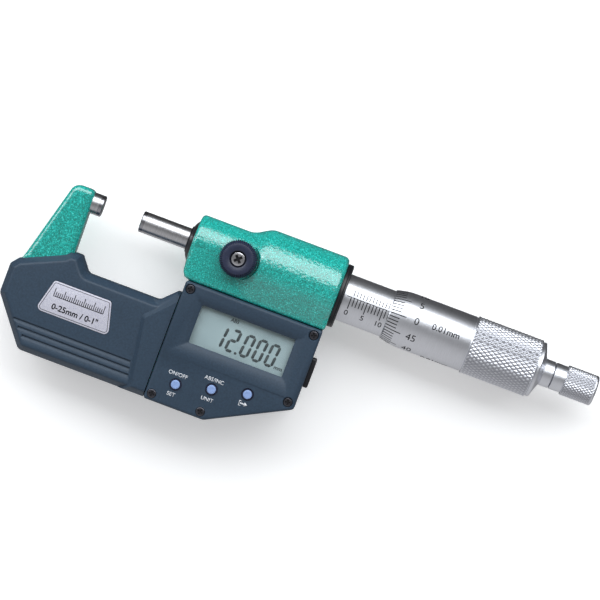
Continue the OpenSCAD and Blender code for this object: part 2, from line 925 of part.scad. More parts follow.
// Seal between the two halves of the housing, where the frame doesn't pass between them
module housing_gasket()
    color([0.1, 0.1, 0.12])
        difference() {
            slab(grown(housing_path, -0.3), -split, split);
            slab(grown(housing_path, 0.2 - housing_wall), -over, over);
            block([housing_l - over, bottom_y + gasket_stop, -over], [housing_l + 2 * housing_wall, 0, over]);
            block([housing_l - over, housing_top - 2 * housing_wall, -over], [limb_r + gasket_gap, 0, over]);
            for (at = screw_at)
                rod_z(at, -over, over, screw_r + fit);
        }

module display_window()
    color("lightgray")
        block(
            [window_x - window_rim, window_y - window_rim, ceiling - window_t],
            [window_x + window_w + window_rim, window_y + window_h + window_rim, ceiling]
        );

// Corners of the display glass, grown by g
function lcd_low(g) = [window_x - lcd_rim - g, window_y - lcd_rim - g];
function lcd_high(g) = [window_x + window_w + lcd_rim + g, window_y + window_h + lcd_rim + g];

module lcd_panel()
    color("darkseagreen")
        block(
            [lcd_low(0)[0], lcd_low(0)[1], lcd_top - lcd_t],
            [lcd_high(0)[0], lcd_high(0)[1], lcd_top]
        );

module lcd_holder()
    color("dimgray")
        difference() {
            block(
                [lcd_low(holder_wall)[0], lcd_low(holder_wall)[1], board_top],
                [lcd_high(holder_wall)[0], lcd_high(holder_wall)[1], ceiling - window_t]
            );
            block(
                [lcd_low(0)[0], lcd_low(0)[1], board_top - over],
                [lcd_high(0)[0], lcd_high(0)[1], ceiling]
            );
        }

// Striped rubber strip that connects the glass to the circuit board
module lcd_connector()
    color("tomato")
        block(
            [lcd_low(-1)[0], lcd_low(-fit)[1], board_top],
            [lcd_high(-1)[0], lcd_low(-fit)[1] + strip_w, lcd_top - lcd_t]
        );

module circuit_board()
    color("darkgreen")
        difference() {
            slab(grown(housing_path, -housing_wall - 0.4), board_z, board_top);
            for (at = screw_at)
                rod_z(at, 0, ceiling, boss_r + 0.3);
        }

module processor()
    color([0.15, 0.15, 0.17])
        block(
            [limb_r + 3, button_y + 3, board_z - processor_t],
            [limb_r + 3 + processor_w, button_y + 3 + processor_w, board_z]
        );

// Rubber mat with a dome under each button
module keypad_mat()
    color("gray")
        union() {
            translate([0, 0, board_top])
                linear_extrude(mat_t)
                    hull() {
                        translate(button_at(0))
                            circle(r = mat_r, $fn = 32);
                        translate(button_at(2))
                            circle(r = mat_r, $fn = 32);
                    }
            for (i = [0:2])
                rod_z(button_at(i), board_top, button_foot - button_stroke - fit, button_r);
        }

module button(i)
    color("lightsteelblue")
        union() {
            rod_z(button_at(i), button_foot, button_top, button_r);
            rod_z(button_at(i), ceiling - fit - 0.6, ceiling - fit, button_r + button_rim);
        }

module housing_screws()
    color([0.1, 0.1, 0.12])
        for (at = screw_at)
            difference() {
                union() {
                    rod_z(at, head_z, head_z + head_h, head_r);
                    rod_z(at, -screw_tip, head_z, screw_r);
                }
                cross_recess(at, head_z + head_h, head_r * cross_reach, 0.4);
            }

module battery()
    color("lightgray")
        rod_z([cell_x, cell_y], cell_z, nest_z, cell_r);

// Spring strip over the cell, with a leg up to the circuit board
module battery_contact_minus()
    color("gold")
        union() {
            block(
                [cell_x - contact_w / 2, cell_y - contact_w, nest_z],
                [cell_x + contact_w / 2, cell_y + nest_r + over, nest_z + contact_t]
            );
            block(
                [cell_x - contact_w / 2, cell_y + nest_r + over - contact_t, nest_z],
                [cell_x + contact_w / 2, cell_y + nest_r + over, board_z]
            );
        }

// Strip along the side of the cell, up to the circuit board
module battery_contact_plus()
    color("gold")
        block(
            [cell_x - contact_w / 2, cell_y - cell_r - contact_t, cell_z + over],
            [cell_x + contact_w / 2, cell_y - cell_r, board_z]
        );

module battery_cap()
    color("darkslategray")
        difference() {
            rod_z([cell_x, cell_y], -housing_back, floor_z, cap_r);
            translate([cell_x, cell_y, -housing_back])
                block([-cap_r * 0.75, -coin_w / 2, -over], [cap_r * 0.75, coin_w / 2, 0.7]);
        }

module battery_cap_seal()
    color([0.1, 0.1, 0.12])
        ring_z([cell_x, cell_y], floor_z, cell_z + seal_h - fit, cap_r, cell_r + clearance);

module data_connector()
    color([0.15, 0.15, 0.17])
        difference() {
            block(
                [socket_x, port_y - port_w / 2, port_z],
                [housing_r - port_deep, port_y + port_w / 2, board_z - fit]
            );
            block(
                [socket_x + over, port_y - port_w / 2 + socket_wall, port_z + socket_wall],
                [housing_r, port_y + port_w / 2 - socket_wall, port_z + port_h - socket_wall]
            );
        }

// Rubber plug in the data port
module port_cover()
    color([0.1, 0.1, 0.12])
        union() {
            block(
                [housing_r - port_plug, port_y - port_w / 2 + fit, port_z + fit],
                [housing_r + fit, port_y + port_w / 2 - fit, port_z + port_h - fit]
            );
            block(
                [housing_r + clearance, port_y - port_w / 2 - port_rim, port_z - port_rim],
                [housing_r + port_cap_t, port_y + port_w / 2 + port_rim, port_z + port_h + port_rim]
            );
        }

frame();
anvil();
anvil_tip();
spindle();
spindle_tip();
spindle_seal();
barrel_end_ring();
inner_sleeve();
adjusting_nut();
sleeve();
thimble();
ratchet_neck();
ratchet_disc();
ratchet_spring();
ratchet_knob();
ratchet_screw();
lock_knob();
lock_screw();
lock_stem();
lock_pad();
encoder_stator();
encoder_flex();
encoder_rotor();
rotor_bush();
rotor_key();
wave_spring();
front_cover();
rear_cover();
cover_screws();
label_plate();
display_housing();
rear_housing();
housing_gasket();
display_window();
lcd_panel();
lcd_holder();
lcd_connector();
circuit_board();
processor();
keypad_mat();
button(0);  // on_off_button
button(1);  // abs_inc_button
button(2);  // data_button
housing_screws();
battery();
battery_contact_minus();
battery_contact_plus();
battery_cap();
battery_cap_seal();
data_connector();
port_cover();
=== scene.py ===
import json
import math

import bmesh
import bpy
from mathutils import Matrix, Vector


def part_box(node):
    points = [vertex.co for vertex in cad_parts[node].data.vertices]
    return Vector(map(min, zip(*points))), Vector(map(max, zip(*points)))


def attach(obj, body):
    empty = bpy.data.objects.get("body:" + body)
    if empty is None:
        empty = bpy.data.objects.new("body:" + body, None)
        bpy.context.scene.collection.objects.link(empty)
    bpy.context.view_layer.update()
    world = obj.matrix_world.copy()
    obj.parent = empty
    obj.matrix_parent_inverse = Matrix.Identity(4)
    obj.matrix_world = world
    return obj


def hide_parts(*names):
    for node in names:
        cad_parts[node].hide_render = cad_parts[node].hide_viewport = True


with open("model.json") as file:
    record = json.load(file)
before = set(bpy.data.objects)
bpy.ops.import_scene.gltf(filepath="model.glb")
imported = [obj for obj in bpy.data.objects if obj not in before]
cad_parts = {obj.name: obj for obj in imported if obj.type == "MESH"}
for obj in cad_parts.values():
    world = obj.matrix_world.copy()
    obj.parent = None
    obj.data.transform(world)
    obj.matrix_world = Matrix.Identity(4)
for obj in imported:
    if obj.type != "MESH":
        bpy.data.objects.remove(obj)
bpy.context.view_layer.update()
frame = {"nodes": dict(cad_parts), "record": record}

# Everything below is in millimetres until a mesh is finished.
MM = 0.001
TAU = 2 * math.pi


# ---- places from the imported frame

def box_mm(node):
    """Lowest and highest corner of a node at rest, in millimetres."""
    low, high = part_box(node)
    return Vector(low) / MM, Vector(high) / MM


cover_low, cover_high = box_mm("front_cover")
rear_z = box_mm("rear_cover")[0].z
house_low, house_high = box_mm("display_housing")
back_low, back_high = box_mm("rear_housing")
ring_low, ring_high = box_mm("barrel_end_ring")
seal_low, seal_high = box_mm("spindle_seal")
sleeve_low, sleeve_high = box_mm("sleeve")
thimble_low, thimble_high = box_mm("thimble")
neck_low, neck_high = box_mm("ratchet_neck")
grip_low, grip_high = box_mm("ratchet_knob")
tip_low, tip_high = box_mm("spindle_tip")
knob_low, knob_high = box_mm("lock_knob")
window_low, window_high = box_mm("display_window")
label_low, label_high = box_mm("label_plate")
port_low, port_high = box_mm("port_cover")
cap_low, cap_high = box_mm("battery_cap")
screws_low, screws_high = box_mm("housing_screws")
cover_screws_high = box_mm("cover_screws")[1]
stator_low, stator_high = box_mm("encoder_stator")
back_z = back_low.z

SPINDLE_R = 3.25
CLEAR = 0.05      # round a turning or sliding piece
FIT = 0.1         # between a cover and what it lies on
SHORT = 0.02      # what the spindle face stops short of the closed anvil
CAST_Z = 4.5      # half the thickness of the casting's flat part
WALL = 1.4        # of both housing halves
BUTTON_R = 1.35
BEYOND = 20       # well past any face of the object


# ---- outlines and solids

def rounded(path, steps=8):
    """Points of a closed outline whose corners (x, y, r) are rounded by arcs."""
    out = []
    for i, (x, y, r) in enumerate(path):
        here = Vector((x, y))
        a = (Vector(path[i - 1][:2]) - here).normalized()
        b = (Vector(path[(i + 1) % len(path)][:2]) - here).normalized()
        half = a.angle(b) / 2
        centre = here + (a + b).normalized() * r / math.sin(half)
        start = here + a * r / math.tan(half) - centre
        end = here + b * r / math.tan(half) - centre
        first = math.atan2(start.y, start.x)
        sweep = (math.atan2(end.y, end.x) - first + 3 * math.pi) % TAU - math.pi
        for k in range(steps + 1):
            t = first + sweep * k / steps
            out.append((centre.x + r * math.cos(t), centre.y + r * math.sin(t)))
    return out


def grown(path, d, least=0.06):
    """Counter-clockwise path with every side moved outwards by d."""
    out = []
    for i, (x, y, r) in enumerate(path):
        here = Vector((x, y))
        u = (here - Vector(path[i - 1][:2])).normalized()
        v = (Vector(path[(i + 1) % len(path)][:2]) - here).normalized()
        side = Vector((u.y + v.y, -u.x - v.x)) / (1 + u.dot(v))
        bend = d if u.x * v.y - u.y * v.x > 0 else -d
        out.append((x + d * side.x, y + d * side.y, max(least, r + bend)))
    return out


def box_path(x0, y0, x1, y1, r):
    """Rectangular path whose corners all have the same radius."""
    return [(x0, y1, r), (x0, y0, r), (x1, y0, r), (x1, y1, r)]


def loft(rings, wrap=False):
    """Solid through rings of equally many (x, y, z) points, closed by caps or round to the first ring."""
    bm = bmesh.new()
    layers = [[bm.verts.new(p) for p in ring] for ring in rings]
    n = len(rings[0])
    pairs = list(zip(layers, layers[1:]))
    if wrap:
        pairs.append((layers[-1], layers[0]))
    for a, b in pairs:
        for i in range(n):
            bm.faces.new((a[i], a[(i + 1) % n], b[(i + 1) % n], b[i]))
    if not wrap:
        bm.faces.new(layers[0][::-1])
        bm.faces.new(layers[-1])
    bmesh.ops.recalc_face_normals(bm, faces=bm.faces)
    return bm


def slab(path, levels, steps=8):
    """Solid on a rounded path through (z, inset) levels."""
    return loft([[(x, y, z) for x, y in rounded(grown(path, -inset), steps)] for z, inset in levels])


def low_edge(z, r, steps=4):
    """Levels of a rounded edge from a lower face up into the wall."""
    turns = [math.pi / 2 * k / steps for k in range(steps + 1)]
    return [(z + r * (1 - math.cos(a)), r * (1 - math.sin(a))) for a in turns]


def high_edge(z, r, steps=4):
    """Levels of a rounded edge from the wall up into an upper face."""
    return [(2 * z - level, inset) for level, inset in reversed(low_edge(z, r, steps))]


def about_x(x, t, r):
    """Point at x on a circle about X. The angle runs from +Z towards +Y."""
    return (x, r * math.sin(t), r * math.cos(t))


def lathe(profile, n=128, wrap=False, radius=None):
    """Turned solid about X from (x, r) points. radius(x, t, r) may change r round the circle."""
    bm = bmesh.new()
    rows = []
    for x, r in profile:
        if r <= 0:
            rows.append([bm.verts.new((x, 0, 0))])
            continue
        row = []
        for k in range(n):
            t = TAU * k / n
            row.append(bm.verts.new(about_x(x, t, radius(x, t, r) if radius else r)))
        rows.append(row)
    pairs = list(zip(rows, rows[1:]))
    if wrap:
        pairs.append((rows[-1], rows[0]))
    for a, b in pairs:
        for k in range(n):
            j = (k + 1) % n
            corners = [a[k % len(a)], a[j % len(a)], b[j % len(b)], b[k % len(b)]]
            face = list(dict.fromkeys(corners))
            if len(face) > 2:
                bm.faces.new(face)
    bmesh.ops.recalc_face_normals(bm, faces=bm.faces)
    return bm


def standing(profile, x, y, n=48, **how):
    """Turned solid that stands along Z at (x, y), from (z, r) points."""
    bm = lathe(profile, n, **how)
    turn = Matrix.Rotation(-math.pi / 2, 4, "Y")
    bmesh.ops.transform(bm, matrix=Matrix.Translation((x, y, 0)) @ turn, verts=bm.verts)
    return bm


def rod(x, y, z0, z1, r, n=48):
    """Cylinder along Z."""
    return standing([(z0, 0), (z0, r), (z1, r), (z1, 0)], x, y, n)


def block(low, high):
    """Box between two corners."""
    ring = [(low[0], low[1]), (high[0], low[1]), (high[0], high[1]), (low[0], high[1])]
    return loft([[(x, y, z) for x, y in ring] for z in (low[2], high[2])])


def merged(parts):
    """One bmesh that holds all the parts."""
    out = bmesh.new()
    for part in parts:
        mesh = bpy.data.meshes.new("part")
        part.to_mesh(mesh)
        part.free()
        out.from_mesh(mesh)
        bpy.data.meshes.remove(mesh)
    return out


def drop(obj):
    """Removes an object with its mesh."""
    mesh = obj.data
    bpy.data.objects.remove(obj)
    bpy.data.meshes.remove(mesh)


def taken(obj):
    """The mesh of an object as a bmesh. The object is removed."""
    bm = bmesh.new()
    bm.from_mesh(obj.data)
    drop(obj)
    return bm


def raw_object(name, bm):
    """Object made from a bmesh, still in millimetres."""
    mesh = bpy.data.meshes.new(name)
    bm.to_mesh(mesh)
    bm.free()
    obj = bpy.data.objects.new(name, mesh)
    bpy.context.scene.collection.objects.link(obj)
    return obj


def applied(obj):
    """Bakes the object's modifiers into its mesh."""
    shaped = obj.evaluated_get(bpy.context.evaluated_depsgraph_get())
    mesh = bpy.data.meshes.new_from_object(shaped)
    old = obj.data
    obj.modifiers.clear()
    obj.data = mesh
    bpy.data.meshes.remove(old)
    return obj


def combine(obj, bm, operation="DIFFERENCE", solver="EXACT"):
    """Cuts a solid from an object, joins it on, or keeps what they share."""
    tool = raw_object("tool", bm)
    mod = obj.modifiers.new("combine", "BOOLEAN")
    mod.operation = operation
    mod.solver = solver
    mod.object = tool
    applied(obj)
    drop(tool)
    return obj


def finished(obj, name, body, slot, nodes=(), material=None, smooth=32, inside=()):
    """Scales a piece to metres, shades it, gives it its body and its slot's material, and hides the nodes it
    stands for.

    Its material is its slot's own, unless another is given. Faces marked 1 take the material given for
    painted shade in recesses.
    """
    obj.name = name
    mesh = obj.data
    mesh.name = name
    mesh.transform(Matrix.Scale(MM, 4))
    mesh.polygons.foreach_set("use_smooth", [True] * len(mesh.polygons))
    if smooth < 180:
        mesh.set_sharp_from_angle(angle=math.radians(smooth))
    kinds = [min(face.material_index, len(inside)) for face in mesh.polygons]
    mesh.materials.clear()
    for item in (material or SLOT_MATERIALS[slot], *inside):
        mesh.materials.append(item)
    mesh.polygons.foreach_set("material_index", kinds)
    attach(obj, body)
    if nodes:
        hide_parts(*nodes)
    return obj


def piece(name, bm, body, slot, nodes=(), **looks):
    """A finished piece made from a bmesh."""
    return finished(raw_object(name, bm), name, body, slot, nodes, **looks)


# ---- materials

def set_stops(elements, stops):
    """Gives a colour ramp its (position, colour) stops."""
    while len(elements) < len(stops):
        elements.new(0.5)
    for element, (position, colour) in zip(elements, stops):
        element.position = position
        element.color = (*colour, 1)


class Shader:
    """A material and short ways to add its nodes. Positions are in millimetres."""

    def __init__(self, name, **sockets):
        self.material = bpy.data.materials.new(name)
        self.material.use_nodes = True
        self.nodes = self.material.node_tree.nodes
        self.links = self.material.node_tree.links
        self.surface = self.nodes["Principled BSDF"]
        for key, value in sockets.items():
            self.surface.inputs[key.replace("_", " ")].default_value = value
        place = self.add("ShaderNodeTexCoord")
        self.place = place.outputs["Object"]

    def add(self, kind, **values):
        node = self.nodes.new(kind)
        for key, value in values.items():
            setattr(node, key, value)
        return node

    def link(self, source, target):
        self.links.new(source, target)

    def stretched(self, x, y, z):
        """Object position with each axis scaled, in units per millimetre."""
        node = self.add("ShaderNodeMapping")
        node.inputs["Scale"].default_value = (x / MM, y / MM, z / MM)
        self.link(self.place, node.inputs["Vector"])
        return node.outputs["Vector"]

    def noise(self, scale, detail=2.0, rough=0.5, axes=(1, 1, 1)):
        node = self.add("ShaderNodeTexNoise")
        node.inputs["Scale"].default_value = 1
        node.inputs["Detail"].default_value = detail
        node.inputs["Roughness"].default_value = rough
        self.link(self.stretched(*(scale * a for a in axes)), node.inputs["Vector"])
        return node.outputs["Fac"]

    def cells(self, scale, feature="F1", wobble=0.0):
        """Distance field of a cell pattern, wobbled by noise."""
        node = self.add("ShaderNodeTexVoronoi", feature=feature)
        node.inputs["Scale"].default_value = 1
        place = self.stretched(scale, scale, scale)
        if wobble:
            waves = self.add("ShaderNodeTexNoise")
            waves.inputs["Scale"].default_value = 1.6
            self.link(place, waves.inputs["Vector"])
            mix = self.add("ShaderNodeVectorMath", operation="MULTIPLY_ADD")
            mix.inputs[1].default_value = (wobble, wobble, wobble)
            self.link(waves.outputs["Color"], mix.inputs[0])
            self.link(place, mix.inputs[2])
            place = mix.outputs["Vector"]
        self.link(place, node.inputs["Vector"])
        return node.outputs["Distance"]

    def ramp(self, source, stops):
        """Colour ramp through (position, colour) stops."""
        node = self.add("ShaderNodeValToRGB")
        set_stops(node.color_ramp.elements, stops)
        self.link(source, node.inputs["Fac"])
        return node.outputs["Color"]

    def levels(self, source, low, high):
        """Maps 0..1 to low..high."""
        node = self.add("ShaderNodeMapRange")
        node.inputs["To Min"].default_value = low
        node.inputs["To Max"].default_value = high
        self.link(source, node.inputs["Value"])
        return node.outputs["Result"]

    def mixed(self, a, b, factor, blend="MIX"):
        node = self.add("ShaderNodeMix", data_type="RGBA", blend_type=blend)
        for socket, value in ((node.inputs[0], factor), (node.inputs[6], a), (node.inputs[7], b)):
            if isinstance(value, bpy.types.NodeSocket):
                self.link(value, socket)
            else:
                socket.default_value = value
        return node.outputs[2]

    def bump(self, height, depth, strength=1.0):
        """Bump of the given depth in millimetres, on top of any earlier one."""
        node = self.add("ShaderNodeBump")
        node.inputs["Strength"].default_value = strength
        node.inputs["Distance"].default_value = depth * MM
        self.link(height, node.inputs["Height"])
        normal = self.surface.inputs["Normal"]
        if normal.is_linked:
            self.link(normal.links[0].from_socket, node.inputs["Normal"])
        self.link(node.outputs["Normal"], normal)

    def colour(self, source):
        self.link(source, self.surface.inputs["Base Color"])

    def roughness(self, source):
        self.link(source, self.surface.inputs["Roughness"])


def hammertone():
    """Green hammered enamel: fine pale and dark flecks under a glossy, uneven skin."""
    s = Shader("green_hammertone", Specular_IOR_Level=0.2, Coat_Weight=1.0, Coat_Roughness=0.06, Coat_IOR=1.9)
    fleck = s.noise(3.0, 2, 0.6)
    tint = s.ramp(fleck, [
        (0.36, (0.000, 0.19, 0.155)), (0.46, (0.000, 0.29, 0.245)), (0.53, (0.000, 0.39, 0.33)),
        (0.61, (0.004, 0.53, 0.46)), (0.70, (0.10, 0.80, 0.73)),
    ])
    cloud = s.ramp(s.noise(0.5, 3), [(0.35, (0.84, 0.88, 0.88)), (0.65, (1.0, 1.0, 1.0))])
    s.colour(s.mixed(tint, cloud, 1.0, "MULTIPLY"))
    s.roughness(s.levels(s.noise(2.2, 2), 0.35, 0.5))
    s.bump(s.noise(0.9, 3, 0.55), 0.2, 0.8)
    s.link(s.surface.inputs["Normal"].links[0].from_socket, s.surface.inputs["Coat Normal"])
    return s.material


def mottled(name, dark, light, patch, rough, gloss, grain, **sockets):
    """Material whose colour, roughness and bump each follow a noise.

    patch and gloss are (scale, detail). grain is (scale, detail, depth, strength), or None.
    """
    s = Shader(name, **sockets)
    s.colour(s.ramp(s.noise(*patch), [(0.3, dark), (0.7, light)]))
    s.roughness(s.levels(s.noise(*gloss), *rough))
    if grain:
        s.bump(s.noise(*grain[:2]), *grain[2:])
    return s.material


def moulded(name, colour, spread=0.16, rough=(0.46, 0.60), grain=9.0, depth=0.02, **sockets):
    """Moulded plastic or rubber with a fine grain and slight cloudiness."""
    dark, light = (tuple(c * (1 + s) for c in colour) for s in (-spread, spread))
    return mottled(name, dark, light, (1.7, 4), rough, (4, 2), (grain, 2, depth, 0.6), **sockets)


def turned_metal(name, colour, rough=(0.22, 0.34), lines=7.0, depth=0.004, across=0.05, tone=0.10):
    """Metal with fine lines left by turning about X, and painted shade deep in a knurl's grooves."""
    s = Shader(name, Metallic=1.0)
    mark = s.noise(lines, 3, 0.6, (1, across, across))
    dark = tuple(c * (1 - tone) for c in colour)
    # painted shade: a knurl's surface darkens with how deep it lies in its grooves
    groove = s.add("ShaderNodeAttribute", attribute_name="groove").outputs["Fac"]
    groove_shade = s.ramp(groove, [(0.0, (1, 1, 1)), (0.4, (0.97, 0.97, 0.97)), (1.0, (0.5, 0.5, 0.53))])
    s.colour(s.mixed(s.ramp(mark, [(0.3, dark), (0.7, colour)]), groove_shade, 1.0, "MULTIPLY"))
    s.roughness(s.levels(s.noise(1.1, 3), *rough))
    s.bump(mark, depth, 0.5)
    return s.material


def flat_metal(name, colour, rough=(0.2, 0.35), scale=3.0, tone=0.12):
    """Metal with no direction of working."""
    dark = tuple(c * (1 - tone) for c in colour)
    grain = (scale * 5, 2, 0.003, 0.4)
    return mottled(name, dark, colour, (scale, 3), rough, (scale * 2, 2), grain, Metallic=1.0)


def foil():
    """Silver lavender foil with a sparkle of painted glints: bright cell centres, which also make a slight
    bump.
    """
    s = Shader("label_foil", Metallic=0.35)
    glint_cells = s.cells(4.5)
    # painted glints: the cell centres are near white, fading to lavender
    s.colour(s.ramp(glint_cells, [
        (0.05, (0.98, 0.98, 1.0)), (0.35, (0.70, 0.70, 0.79)), (0.8, (0.54, 0.54, 0.66)),
    ]))
    s.roughness(s.levels(s.noise(6, 2), 0.32, 0.5))
    s.bump(glint_cells, 0.01, 0.3)
    return s.material


def circuit():
    """Green solder mask over a web of tracks."""
    s = Shader("solder_mask", Roughness=0.3)
    tracks = s.cells(0.9, "DISTANCE_TO_EDGE")
    s.colour(s.ramp(tracks, [(0.03, (0.03, 0.22, 0.08)), (0.08, (0.008, 0.11, 0.04))]))
    s.bump(tracks, 0.02, 0.3)
    return s.material


ENAMEL = hammertone()
SHELL = moulded("slate_plastic", (0.020, 0.042, 0.072))
# near-black for the rings in the button wells: painted shade in the recesses round the buttons
WELL_SHADE = moulded("well_painted_shade", (0.010, 0.012, 0.035))
KNOB = moulded("knob_navy", (0.016, 0.022, 0.052), rough=(0.35, 0.5))
BUTTON = moulded("button_periwinkle", (0.25, 0.36, 0.64), spread=0.06, rough=(0.25, 0.35), depth=0.004)
RUBBER = moulded("black_rubber", (0.010, 0.010, 0.013), rough=(0.3, 0.42), grain=4.0, depth=0.006)
BLACK = moulded("black_plastic", (0.012, 0.012, 0.016), rough=(0.3, 0.45))
SILICONE = moulded("grey_silicone", (0.20, 0.20, 0.22))
POLYIMIDE = moulded("amber_film", (0.55, 0.22, 0.02), rough=(0.2, 0.3))
SATIN = turned_metal("satin_chrome", (0.80, 0.815, 0.86), rough=(0.30, 0.40))
GROUND = turned_metal("ground_steel", (0.66, 0.66, 0.68), rough=(0.24, 0.34), lines=10, tone=0.3)
CARBIDE = turned_metal("lapped_carbide", (0.42, 0.42, 0.45), rough=(0.18, 0.28))
NICKEL = flat_metal("bright_nickel", (0.84, 0.84, 0.87), rough=(0.12, 0.22))
BLACK_STEEL = flat_metal("black_oxide", (0.13, 0.13, 0.15), rough=(0.2, 0.32))
BRASS = flat_metal("turned_brass", (0.78, 0.56, 0.24))
SPRING = flat_metal("spring_steel", (0.56, 0.56, 0.60))
GILT = flat_metal("gilt_contact", (0.83, 0.62, 0.25))
FOIL = foil()
LCD = mottled(
    "display_background", (0.35, 0.465, 0.49), (0.42, 0.545, 0.57),
    (0.12, 2), (0.35, 0.45), (8, 2), (14, 1, 0.002, 0.3),
)
GLASS = mottled(
    "window_glass", (0.26, 0.32, 0.33), (0.30, 0.36, 0.37),
    (0.2, 2), (0.05, 0.10), (0.5, 2), None, Alpha=0.09, IOR=1.49,
)
BOARD = circuit()
INK = moulded("black_ink", (0.010, 0.010, 0.012), rough=(0.7, 0.8), depth=0.002, Specular_IOR_Level=0.12)
WHITE_INK = moulded("white_ink", (0.74, 0.76, 0.80), spread=0.04, rough=(0.5, 0.6), depth=0.002)
SEGMENTS = moulded("display_segments", (0.012, 0.020, 0.022), rough=(0.4, 0.5), depth=0.001)

SLOT_MATERIALS = {
    "enamel": ENAMEL, "shell": SHELL, "carbide": CARBIDE, "ground_steel": GROUND,
    "satin_chrome": SATIN, "nickel": NICKEL, "brass": BRASS, "spring_steel": SPRING,
    "black_steel": BLACK_STEEL, "rubber": RUBBER, "knob_plastic": KNOB,
    "button_plastic": BUTTON, "label": FOIL, "clear": GLASS, "lcd": LCD,
    "black_plastic": BLACK, "board": BOARD, "flex": POLYIMIDE, "silicone": SILICONE,
    "cell": NICKEL, "contact": GILT,
}
NODE_SLOTS = {part["node"]: part["material_slot"] for part in frame["record"]["subparts"]}
for node, obj in frame["nodes"].items():
    obj.data.materials.clear()
    obj.data.materials.append(SLOT_MATERIALS[NODE_SLOTS[node]])


# ---- bow covers

left, bottom = cover_low.x, cover_low.y
right, lip = cover_high.x, cover_high.y
throat = lip - 4.4
cover_top = label_low.z + 0.3
OVER = 6          # what the covers are first made too long by
SEAM = 0.12       # between the covers, the housing and the label
CUT = 1.5         # how far a groove's cutter stands out of a cover
raised_top = cover_high.z
cover_path = [
    (left + 1.9, throat - 2.7, 0.3), (left, throat - 5, 1.5), (left, bottom + 14.1, 2),
    (left + 10.9, bottom, 2.5), (right, bottom, 0.3), (right, lip, 0.5),
    (right - 1.3, lip, 0.6), (right - 5.7, throat, 2.2), (2.6, throat, 2),
    (-0.8, lip, 0.8), (-3.8, lip, 0.3), (-5.3, throat + 3, 0.8),
]
wide_path = list(cover_path)
wide_path[4] = (right + OVER, bottom, 0.3)
wide_path[5] = (right + OVER, lip, 0.5)
inner_path = grown(cover_path, -1.7)
limb_end, limb_top = 55.1, -9.1    # of the casting's limb inside the display housing
flat_path = [
    (-3.5, 3.8, 0.8), (-10.1, 3.8, 1.4), (left + 2.6, throat - 2.8, 2),
    inner_path[1], inner_path[2], inner_path[3],
    (right - 1.9, bottom + 1.7, 1), (right + 0.7, bottom + 4, 1),
    (limb_end - 10, bottom + 4, 2), (limb_end, bottom + 11.3, 2),
    (limb_end, limb_top, 0.5), (right + 1.8, limb_top, 0.5), (right + 1.8, throat + 4, 1.5),
    inner_path[7], inner_path[8], (-3.1, lip, 0.5),
]


def flat_part(gap, height):
    """The flat part of the casting, grown by a gap all round."""
    return slab(grown(flat_path, gap), [(-height - gap, 0), (height + gap, 0)])


def shell_levels(base, top):
    """Levels of a cover: a small seam edge, an upright wall, a slope and a rounded rim."""
    side = 1 if top > base else -1
    depth = abs(top - base)
    steps = [(0, 0.22), (0.12, 0.06), (0.3, 0), (depth - 3.3, 0), (depth - 2.9, 0.12), (depth - 0.62, 1.45)]
    steps += [(depth - 0.34, 1.62), (depth - 0.14, 1.84), (depth - 0.03, 2.12), (depth, 2.45)]
    return [(base + side * z, inset) for z, inset in steps]


def cover(name, base, top, raised=None):
    """One bow cover, hollow over the casting, with a raised end if a second height is given."""
    obj = raw_object(name, slab(wide_path, shell_levels(base, top), 10))
    if raised:
        hump = raw_object("hump", slab(wide_path, shell_levels(base, raised), 10))
        area = [
            (22.9, throat - 5.8, 0.3), (26.9, bottom - 3, 0.3),
            (right + 8, bottom - 3, 0.3), (right + 8, lip + 6.5, 0.3),
        ]
        mid = (top + raised) / 2
        combine(hump, slab(area, [(z, z - mid) for z in (-1, raised + 1)]), "INTERSECT")
        combine(obj, taken(hump), "UNION")
    combine(obj, block((right - SEAM, bottom - 5, -BEYOND), (right + BEYOND, lip + 5, BEYOND)))
    combine(obj, flat_part(FIT, CAST_Z))
    return obj


front = cover("front_cover", 0.02, cover_top, raised_top)
# three grip steps across the lower part, each a steep wall and a slope
for i in range(3):
    y = bottom + 8.9 - 2 * i
    ends = (left + 6.8 + 2 * i, right - 7 + 0.4 * i)
    section = [(y, CUT), (y, -0.5), (y - 0.35, -0.52), (y - 1.25, 0.02), (y - 1.25, CUT)]
    combine(front, loft([[(x, a, cover_top + b) for a, b in section] for x in ends]))
label_path = [
    (label_low.x, label_low.y, 1.4), (label_high.x, label_low.y, 1.4),
    (label_high.x - 2.6, label_high.y, 1), (label_low.x + 2.6, label_high.y, 1),
]
combine(front, slab(grown(label_path, SEAM), [(label_low.z, 0), (label_low.z + 3, 0)]))
finished(front, "bow_cover_front", "root", "shell", ["front_cover"])

cover_screw_at = [(left + 6.8, bottom + 18), (8, bottom + 8), (right - 4.4, bottom + 8)]
COVER_SCREW_R, COVER_HEAD_R, HEAD_DEPTH = 1.0, 1.9, 1.2
rear = cover("rear_cover", -0.02, rear_z)
for x, y in cover_screw_at:
    combine(rear, rod(x, y, rear_z - 1, 1, COVER_SCREW_R + FIT))
    combine(rear, rod(x, y, rear_z - 1, rear_z + HEAD_DEPTH, COVER_HEAD_R + FIT))
finished(rear, "bow_cover_rear", "root", "shell", ["rear_cover"])


